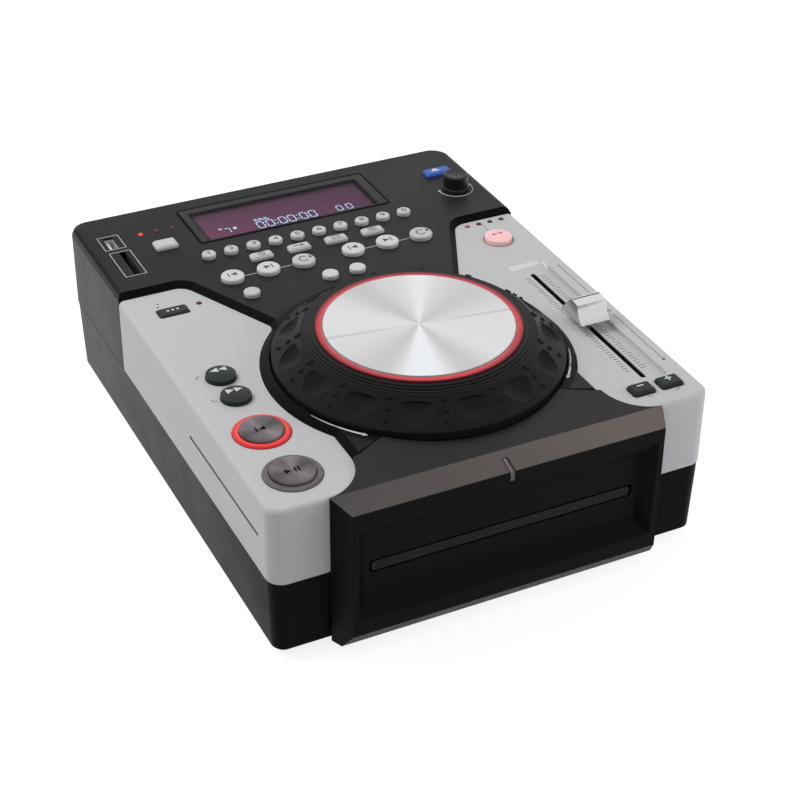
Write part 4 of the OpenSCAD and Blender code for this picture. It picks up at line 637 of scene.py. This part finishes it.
class Print:
    """Collects flat shapes in case millimetres and makes one thin piece that lies on a surface."""

    def __init__(self, name, material, body="case", thick=INK):
        self.name, self.material, self.body, self.thick = name, material, body, thick
        self.loops = []

    def poly(self, points):
        """A flat shape, turned so that its top faces up."""
        area = sum(a[0] * b[1] - b[0] * a[1] for a, b in zip(points, points[1:] + points[:1]))
        self.loops.append(points if area > 0 else points[::-1])

    def line(self, a, b, w):
        d = Vector((b[0] - a[0], b[1] - a[1])).normalized() * w / 2
        n = Vector((-d.y, d.x))
        self.poly([(a[0] - n.x, a[1] - n.y), (b[0] - n.x, b[1] - n.y),
                   (b[0] + n.x, b[1] + n.y), (a[0] + n.x, a[1] + n.y)])

    def path(self, points, w, closed=False, w2=None):
        """A strip along points; its width runs from w to w2."""
        n = len(points)
        side = []
        for i, p in enumerate(points):
            before = points[(i - 1) % n] if closed or i > 0 else p
            after = points[(i + 1) % n] if closed or i < n - 1 else p
            d1 = Vector((p[0] - before[0], p[1] - before[1]))
            d2 = Vector((after[0] - p[0], after[1] - p[1]))
            d1 = d1.normalized() if d1.length else d2.normalized()
            d2 = d2.normalized() if d2.length else d1
            t = (d1 + d2).normalized()
            m = Vector((-t.y, t.x))
            width = w if w2 is None else w + (w2 - w) * i / (n - 1)
            k = width / 2 / max(0.3, m.dot(Vector((-d1.y, d1.x))))
            side.append(((p[0] + m.x * k, p[1] + m.y * k), (p[0] - m.x * k, p[1] - m.y * k)))
        last = n if closed else n - 1
        for i in range(last):
            a, b = side[i], side[(i + 1) % n]
            self.poly([a[1], b[1], b[0], a[0]])

    def arc(self, c, r, start, end, w, steps, w2=None):
        """A strip along an arc, from one direction in degrees to another."""
        self.path([polar(c, r, start + (end - start) * i / steps) for i in range(steps + 1)], w, False, w2)

    def ring(self, c, r, w, steps):
        self.path([polar(c, r, 360 * i / steps) for i in range(steps)], w, True)

    def head(self, tip, direction, length, width):
        """An arrow head that points in a direction in degrees."""
        along = Vector(polar((0, 0), length, direction))
        across = Vector(polar((0, 0), width / 2, direction + 90))
        tip = Vector(tip)
        self.poly([tuple(p) for p in (tip, tip - along + across, tip - along - across)])

    def dot(self, c, r, steps=16):
        self.poly([polar(c, r, 360 * i / steps) for i in range(steps)])

    def digit(self, character, x, y, width, height):
        """A plain digit, centred, scaled to a width and a height, readable from the front."""
        curve = bpy.data.curves.new("glyph", "FONT")
        curve.body = character
        curve.size = 1.0
        curve.resolution_u = 3
        holder = bpy.data.objects.new("glyph", curve)
        bpy.context.scene.collection.objects.link(holder)
        mesh = bpy.data.meshes.new_from_object(holder)
        xs = [v.co.x for v in mesh.vertices]
        ys = [v.co.y for v in mesh.vertices]
        kx, ky = width / (max(xs) - min(xs)), height / (max(ys) - min(ys))
        mx, my = (max(xs) + min(xs)) / 2, (max(ys) + min(ys)) / 2
        for face in mesh.polygons:
            self.poly([((mesh.vertices[v].co.x - mx) * kx + x, (mesh.vertices[v].co.y - my) * ky + y)
                       for v in face.vertices])
        bpy.data.objects.remove(holder)
        bpy.data.curves.remove(curve)
        bpy.data.meshes.remove(mesh)

    def build(self, slot, on, step=None):
        """Makes the piece. on is a height or a function of x and y; step cuts edges longer than itself,
        so that the mark follows a curved face."""
        bm = bmesh.new()
        for loop in self.loops:
            low = [bm.verts.new((x, y, 0.0)) for x, y in loop]
            high = [bm.verts.new((x, y, 1.0)) for x, y in loop]
            bm.faces.new(high)
            bm.faces.new(low[::-1])
            for i in range(len(loop)):
                j = (i + 1) % len(loop)
                bm.faces.new((low[i], low[j], high[j], high[i]))
        for _ in range(MAX_CUTS if step else 0):
            bmesh.ops.triangulate(bm, faces=bm.faces[:])
            long = [e for e in bm.edges if (e.verts[0].co.xy - e.verts[1].co.xy).length > step
                    and abs(e.verts[0].co.z - e.verts[1].co.z) < 0.1]
            if not long:
                break
            bmesh.ops.subdivide_edges(bm, edges=long, cuts=1)
        for v in bm.verts:
            x, y, top = v.co.x, v.co.y, v.co.z > 0.5
            z = on(x, y) if callable(on) else on
            if z is None:
                raise ValueError("%s has no surface under (%.2f, %.2f)" % (self.name, x, y))
            v.co = at(x, y, z + MARK_GAP + (self.thick if top else 0.0))
        bmesh.ops.recalc_face_normals(bm, faces=bm.faces)
        mesh = bpy.data.meshes.new(self.name)
        bm.to_mesh(mesh)
        bm.free()
        obj = bpy.data.objects.new(self.name, mesh)
        bpy.context.scene.collection.objects.link(obj)
        obj.data.materials.append(MATS[self.material].mat)
        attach(obj, self.body)


def on_key(name, key, material="ink_digit", thick=INK):
    """A print that rides on a key."""
    return Print(name, material, key + "_body", thick)


def rect(cx, cy, w, h):
    x0, x1, y0, y1 = cx - w / 2, cx + w / 2, cy - h / 2, cy + h / 2
    return [(x0, y0), (x1, y0), (x1, y1), (x0, y1)]


def round_rect(cx, cy, w, h, r, steps=5):
    points = []
    for sx, sy, start in ((1, -1, -90), (1, 1, 0), (-1, 1, 90), (-1, -1, 180)):
        corner = (cx + sx * (w / 2 - r), cy + sy * (h / 2 - r))
        points += [polar(corner, r, start + 90 * i / steps) for i in range(steps + 1)]
    return points


def deck_marks():
    """White marks on the deck."""
    p = Print("deck_marks", "ink_white")
    # frames round the two sockets
    p.path(rect(-99.7, 255.5, 11.4, 15.0), 0.32, True)
    p.path(rect(-99.0, 230.8, 11.4, 27.1), 0.32, True)
    # links between the loop keys
    clear = 6.9
    for row in LOOP_X:
        for x0, x1 in zip(row, row[1:]):
            p.line((x0 + clear, 192.6), (x1 - clear, 192.6), 0.4)
    # arc with arrow heads round the select knob
    knob_arc_r = 9.7
    p.arc(SELECT_KNOB, knob_arc_r, 172, 368, 0.45, 40)
    for end, turn in ((172, -90), (8, 90)):
        p.head(polar(polar(SELECT_KNOB, knob_arc_r, end), 1.3, end + turn), end + turn, 2.2, 1.9)
    # arrows beside the jog wheel, which widen towards their heads
    jog_arc_r, thin, wide = 74.3, 0.25, 1.15
    p.arc(JOG, jog_arc_r, 201, 221, thin, 16, wide)
    p.arc(JOG, jog_arc_r, 221, 223.5, wide, 3)
    p.arc(JOG, jog_arc_r, -21, -40, thin, 16, wide)
    for end, turn in ((225.4, 90), (-42.4, -90)):
        p.head(polar(JOG, jog_arc_r, end), end + turn, 2.6, 2.4)
    p.build("deck_dark", surface("top_deck"), 3.0)


def panel_marks():
    """Dark marks on the silver panels."""
    p = Print("right_panel_marks", "ink_dark")
    # line beside the fader, with an end stroke, a zero and a dot
    scale_x = 109.3
    p.line((scale_x, 137.4), (scale_x, 105.6), 0.3)
    p.line((scale_x, 81.8), (scale_x, 35.2), 0.3)
    p.line((scale_x - 0.9, 137.4), (scale_x + 0.9, 137.4), 0.3)
    p.ring((scale_x + 0.1, 85.9), 0.9, 0.3, 12)
    p.dot((scale_x + 0.1, 34.4), 0.75)
    # line from the lamps to the pitch key, and the key's outline
    p.line((PITCH_X, 197.0), (PITCH_X, 185.2), 0.25)
    p.ring((PITCH_X, 176.1), 8.15, 0.3, 48)
    # brackets under the two step keys
    p.arc((87.2, 10.6), 2.2, 190, 280, 0.3, 8)
    p.arc((100.2, 10.6), 2.2, 260, 350, 0.3, 8)
    p.build("panel_silver", surface("right_side_panel"), 4.0)

    left = Print("left_panel_marks", "ink_dark")
    # brackets by the search keys and dots by the mode key
    left.arc((-102.9, 114.3), 2.2, 90, 175, 0.32, 8)
    left.arc((-102.9, 94.9), 2.2, 185, 270, 0.32, 8)
    left.dot((-97.6, 189.3), 0.55)
    left.dot((-98.7, 186.4), 0.55)
    left.build("panel_silver", surface("left_side_panel"), 4.0)

    # ticks on both sides of the fader, every fifth longer, none at its middle
    ticks = Print("fader_ticks", "ink_dark")
    count, first_y, pitch, middle_y = 43, 134.2, 2.36, 83.2
    for i in range(count):
        y = first_y - i * pitch
        if abs(y - middle_y) < 1.0:
            continue
        long = i % 5 == 1
        ticks.line((90.6, y), (87.4 if long else 88.0, y), 0.36)
        ticks.line((96.6, y), (100.2 if long else 99.5, y), 0.36)
    ticks.build("panel_silver", surface("right_side_panel"), 4.0)


def number_marks():
    for i in range(10):
        digit = (i + 1) % 10
        node = "number_key_%d" % digit
        p = on_key("digit_%d" % digit, node)
        x = (i - 4.5) * 12.8
        if digit == 1:
            p.poly(rect(x + 0.2, NUMBER_Y, 0.6, 3.3))
            p.line((x - 0.9, NUMBER_Y + 0.7), (x + 0.1, NUMBER_Y + 1.5), 0.5)
        else:
            p.digit(str(digit), x, NUMBER_Y, 2.7, 3.3)
        p.build("key_grey", surface(node))


def loop_marks():
    """Loop keys: into the loop, out of it, back round."""
    for n, (x_in, x_out, x_back) in enumerate(LOOP_X, 1):
        p = on_key("mark_loop_in_%d" % n, "loop_in_key_%d" % n)
        p.line((x_in - 2.2, LOOP_Y - 2.0), (x_in - 2.2, LOOP_Y + 2.0), 0.6)
        p.head((x_in - 1.2, LOOP_Y), 180, 3.6, 3.4)
        p.build("key_grey", surface("loop_in_key_%d" % n))
        p = on_key("mark_loop_out_%d" % n, "loop_out_key_%d" % n)
        p.line((x_out + 2.2, LOOP_Y - 2.0), (x_out + 2.2, LOOP_Y + 2.0), 0.6)
        p.head((x_out + 1.4, LOOP_Y), 0, 3.6, 3.4)
        p.build("key_grey", surface("loop_out_key_%d" % n))
        p = on_key("mark_loop_back_%d" % n, "loop_exit_key_%d" % n)
        p.arc((x_back, LOOP_Y - 0.2), 2.4, 40, 320, 0.6, 20)
        p.head((x_back + 3.4, LOOP_Y + 2.2), 110, 2.6, 2.4)
        p.build("key_grey", surface("loop_exit_key_%d" % n))


def bar_marks():
    """Bar keys: clock, arrow, two opposite arrows, list."""
    bars = {}
    for n in (1, 2, 3, 4):
        bars[n] = on_key("mark_bar_%d" % n, "bar_key_%d" % n), (n - 2.5) * 21.7
    p, x = bars[1]
    p.ring((x, BAR_Y), 1.7, 0.45, 18)
    p.line((x, BAR_Y - 0.3), (x, BAR_Y + 1.1), 0.4)
    p.line((x - 0.1, BAR_Y - 0.1), (x + 1.0, BAR_Y - 0.1), 0.4)
    p, x = bars[2]
    p.line((x - 3.4, BAR_Y), (x + 1.4, BAR_Y), 0.5)
    p.head((x + 3.2, BAR_Y), 0, 2.2, 2.4)
    p, x = bars[3]
    for way, direction in ((1, 0), (-1, 180)):
        y = BAR_Y + 1.2 * way
        p.line((x - 3.0 * way, y), (x + 1.2 * way, y), 0.45)
        p.head((x + 3.0 * way, y), direction, 1.9, 2.0)
    p, x = bars[4]
    for k in (-1, 0, 1):
        p.line((x - 2.6, BAR_Y + 1.25 * k), (x + 2.6, BAR_Y + 1.25 * k), 0.45)
    for n, (p, x) in bars.items():
        p.build("key_grey", surface("bar_key_%d" % n))


def small_key_marks():
    """Search, step, eject and mode keys."""
    # search: two triangles
    for node, y, way in (("search_back_key", 111.4, -1), ("search_forward_key", 91.8, 1)):
        p = on_key("mark_" + node, node, "ink_white", 0.06)
        for k in (0, 1):
            tip = -93.6 + way * (4.3 * k + 0.2)
            p.poly([(tip, y + 2.9), (tip - way * 4.0, y + 5.0), (tip - way * 4.0, y + 0.8)])
        p.build("key_black", surface(node), 1.0)
    # step: minus and plus, the plus made of three bars that don't cross
    for node, x, cross in (("pitch_minus_key", 84.3, False), ("pitch_plus_key", 100.0, True)):
        p = on_key("mark_" + node, node, "ink_white")
        p.poly(rect(x, 16.4, 3.6, 0.85))
        if cross:
            p.poly(rect(x, 17.65, 0.85, 1.65))
            p.poly(rect(x, 15.15, 0.85, 1.65))
        p.build("key_black", surface(node))
    # eject: a triangle
    p = on_key("mark_eject", "eject_key", "ink_white")
    p.poly([(95.3 - 2.9, 254.6), (95.3 + 2.9, 254.6), (95.3, 258.0)])
    p.build("key_blue", surface("eject_key"))
    # mode: three dots
    p = on_key("mark_mode", "mode_key", "ink_white")
    for k in (-1, 0, 1):
        p.dot((-93.0 + 2.6 * k, 179.6), 0.75, 12)
    p.build("key_black", surface("mode_key"))


def transport_marks():
    """Play key: play and pause. Cue key: a stroke before a triangle."""
    p = on_key("mark_play", "play_key", "ink_black")
    p.head((TRANSPORT_X - 0.7, PLAY_Y), 0, 3.2, 3.6)
    p.poly(rect(TRANSPORT_X + 1.2, PLAY_Y, 0.8, 3.6))
    p.poly(rect(TRANSPORT_X + 3.0, PLAY_Y, 0.8, 3.6))
    p.build("key_smoke", surface("play_key"), 2.0)
    p = on_key("mark_cue", "cue_key", "ink_black")
    p.head((TRANSPORT_X - 1.5, CUE_Y), 180, 3.2, 3.6)
    p.poly(rect(TRANSPORT_X - 2.7, CUE_Y, 0.8, 3.6))
    p.build("key_smoke", surface("cue_key"), 2.0)


def pitch_marks():
    """Pitch key: a double arrow. Fader: a pointer line on its ridge."""
    y = 177.6
    p = on_key("mark_pitch", "pitch_key", "ink_crimson")
    p.line((PITCH_X - 1.8, y), (PITCH_X + 1.8, y), 0.55)
    p.head((PITCH_X + 3.6, y), 0, 2.0, 2.2)
    p.head((PITCH_X - 3.6, y), 180, 2.0, 2.2)
    p.build("key_pink", surface("pitch_key"), 1.0)
    p = Print("fader_pointer", "ink_black", "fader")
    p.poly(rect(PITCH_X, 84.6, 16.2, 0.7))
    p.build("fader_silver", surface("pitch_fader_knob"), 1.0)


SEGMENTS = {"0": "abcdef", "7": "abc"}      # strokes of a seven-stroke figure, clockwise from the top
DISPLAY_Z = 85.52                           # top of the display module
DISPLAY_THICK = 1.6
FIGURES_Z = 87.13                           # just above the lit face


def figure(p, character, x, y, w, h, t):
    """One lit figure of the display, with strokes t wide."""
    x0, x1 = x - w / 2, x + w / 2
    low, high = y - h / 2, y + h / 2
    strokes = {"a": ((x0, high), (x1, high)), "b": ((x1, y), (x1, high)), "c": ((x1, low), (x1, y)),
               "d": ((x0, low), (x1, low)), "e": ((x0, low), (x0, y)), "f": ((x0, y), (x0, high))}
    for key in SEGMENTS[character]:
        a, b = (Vector(end) for end in strokes[key])
        gap = (b - a).normalized() * t * 0.7
        p.line(tuple(a + gap), tuple(b - gap), t)


def display():
    """The lit face of the display module, its figures and the black line round the window."""
    face = Print("display_face", "display", thick=DISPLAY_THICK)
    face.poly(rect(0.0, 254.3, 103.6, 34.8))
    face.build("window", DISPLAY_Z)

    p = Print("display_figures", "glow_digits")
    # three pairs of figures with colons between them, and short bars above the first pair
    for x in (-17.4, -11.8, -4.4, 1.0, 8.2, 13.6):
        figure(p, "0", x, 244.8, 3.7, 7.0, 0.62)
    for x in (-8.1, 4.6):
        p.dot((x, 243.0), 0.45, 8)
        p.dot((x, 246.6), 0.45, 8)
    p.line((-19.4, 250.2), (-10.4, 250.2), 0.6)
    for x, w in ((-18.4, 1.6), (-15.6, 2.2), (-12.4, 1.8)):
        p.line((x - w / 2, 251.6), (x + w / 2, 251.6), 0.7)
    # small pair on the right
    for x in (29.9, 35.8):
        figure(p, "0", x, 244.4, 3.1, 5.6, 0.55)
    # small figure on the left, with a mark on each side
    figure(p, "7", -36.4, 246.2, 2.9, 5.2, 0.6)
    p.line((-40.8, 249.6), (-38.8, 249.6), 0.6)
    p.line((-40.2, 248.4), (-39.2, 248.4), 0.6)
    p.poly(rect(-31.8, 247.4, 1.8, 2.2))
    p.build("window", FIGURES_Z)

    line = Print("window_edge", "ink_black", thick=0.06)
    line.path(round_rect(0.0, 254.25, 111.8, 39.3, 1.4), 1.1, True)
    line.build("window", surface("display_window"), 6.0)


deck_marks()
panel_marks()
number_marks()
loop_marks()
bar_marks()
small_key_marks()
transport_marks()
pitch_marks()
display()


# ---------------------------------------------------------------- studio

FLOOR_REACH = 3.0               # half the floor's side, in metres
FLOOR_GLOW = 0.82               # brings the floor to white where it is seen or mirrored
ROOM_LIGHT = 0.46               # what the room gives to the object
LAMP_TARGET = (0, 0, 0.05)
LAMPS = (("key", (-0.75, 0.65, 1.25), 0.9, 14.0),      # name, place, side and power
         ("fill", (1.2, -0.7, 0.55), 0.8, 5.0))
CAMERA_PLACE = (-356.05, -611.54, 583.15)               # case millimetres
CAMERA_YAW, CAMERA_PITCH, CAMERA_ROLL = (math.radians(v) for v in (-26.410, -33.649, 0.674))
CAMERA_LENS = 84.97


def seen(tree):
    """1 for rays that show a thing directly, in a reflection or through glass, 0 for the rest."""
    path = tree.nodes.new("ShaderNodeLightPath")
    value = path.outputs["Is Camera Ray"]
    for name in ("Is Glossy Ray", "Is Transmission Ray"):
        either = tree.nodes.new("ShaderNodeMath")
        either.operation = "MAXIMUM"
        tree.links.new(value, either.inputs[0])
        tree.links.new(path.outputs[name], either.inputs[1])
        value = either.outputs[0]
    return value


def floor():
    """A pale floor that shows as white and keeps the object's shadow."""
    r = FLOOR_REACH
    mesh = bpy.data.meshes.new("floor")
    mesh.from_pydata([(-r, -r, 0), (r, -r, 0), (r, r, 0), (-r, r, 0)], [], [(0, 1, 2, 3)])
    obj = bpy.data.objects.new("floor", mesh)
    bpy.context.scene.collection.objects.link(obj)
    m = Nodes("floor_white")
    m.colour(m.mix(m.ramp(m.noise(4.0, 2.0), 0.0, 1.0), (0.44, 0.44, 0.44), (0.46, 0.46, 0.46)))
    m.set(Roughness=0.9, Specular_IOR_Level=0.0)
    glow = m.node("ShaderNodeEmission")
    m.link(m.math("MULTIPLY", seen(m.tree), FLOOR_GLOW), glow.inputs["Strength"])
    both = m.node("ShaderNodeAddShader")
    m.link(m.shader.outputs[0], both.inputs[0])
    m.link(glow.outputs[0], both.inputs[1])
    m.link(both.outputs[0], m.out.inputs["Surface"])
    mesh.materials.append(m.mat)


def room():
    """A white room that lights the object softly."""
    world = bpy.data.worlds.new("studio")
    bpy.context.scene.world = world
    world.use_nodes = True
    tree = world.node_tree
    tree.nodes.clear()
    out = tree.nodes.new("ShaderNodeOutputWorld")
    mix = tree.nodes.new("ShaderNodeMixShader")
    tree.links.new(seen(tree), mix.inputs[0])
    for i, colour, strength in ((1, (0.97, 0.98, 1.0), ROOM_LIGHT), (2, (1.0, 1.0, 1.0), 1.0)):
        back = tree.nodes.new("ShaderNodeBackground")
        back.inputs[0].default_value = (*colour, 1.0)
        back.inputs[1].default_value = strength
        tree.links.new(back.outputs[0], mix.inputs[i])
    tree.links.new(mix.outputs[0], out.inputs[0])


def lamps():
    for name, place, side, power in LAMPS:
        data = bpy.data.lights.new(name, "AREA")
        data.shape = "SQUARE"
        data.size = side
        data.energy = power
        lamp = bpy.data.objects.new(name, data)
        bpy.context.scene.collection.objects.link(lamp)
        lamp.location = place
        lamp.rotation_euler = (Vector(LAMP_TARGET) - Vector(place)).to_track_quat("-Z", "Y").to_euler()
        # metal mirrors the white room only: a lamp's own image would bleach the jog plate from some sides
        lamp.visible_glossy = False


def camera():
    """The photograph's view."""
    data = bpy.data.cameras.new("camera")
    data.lens = CAMERA_LENS
    data.sensor_width = 36.0
    data.clip_start = 0.05
    obj = bpy.data.objects.new("camera", data)
    bpy.context.scene.collection.objects.link(obj)
    level = math.cos(CAMERA_PITCH)
    ahead = Vector((-math.sin(CAMERA_YAW) * level, math.cos(CAMERA_YAW) * level, math.sin(CAMERA_PITCH)))
    flat = Vector((math.cos(CAMERA_YAW), math.sin(CAMERA_YAW), 0))
    upright = flat.cross(ahead)
    right = flat * math.cos(CAMERA_ROLL) + upright * math.sin(CAMERA_ROLL)
    up = -flat * math.sin(CAMERA_ROLL) + upright * math.cos(CAMERA_ROLL)
    turn = Matrix((right, up, -ahead)).transposed().to_4x4()
    obj.matrix_world = Matrix.Translation(at(*CAMERA_PLACE)) @ turn
    bpy.context.scene.camera = obj


bpy.context.scene.view_settings.view_transform = "Standard"
floor()
room()
lamps()
camera()
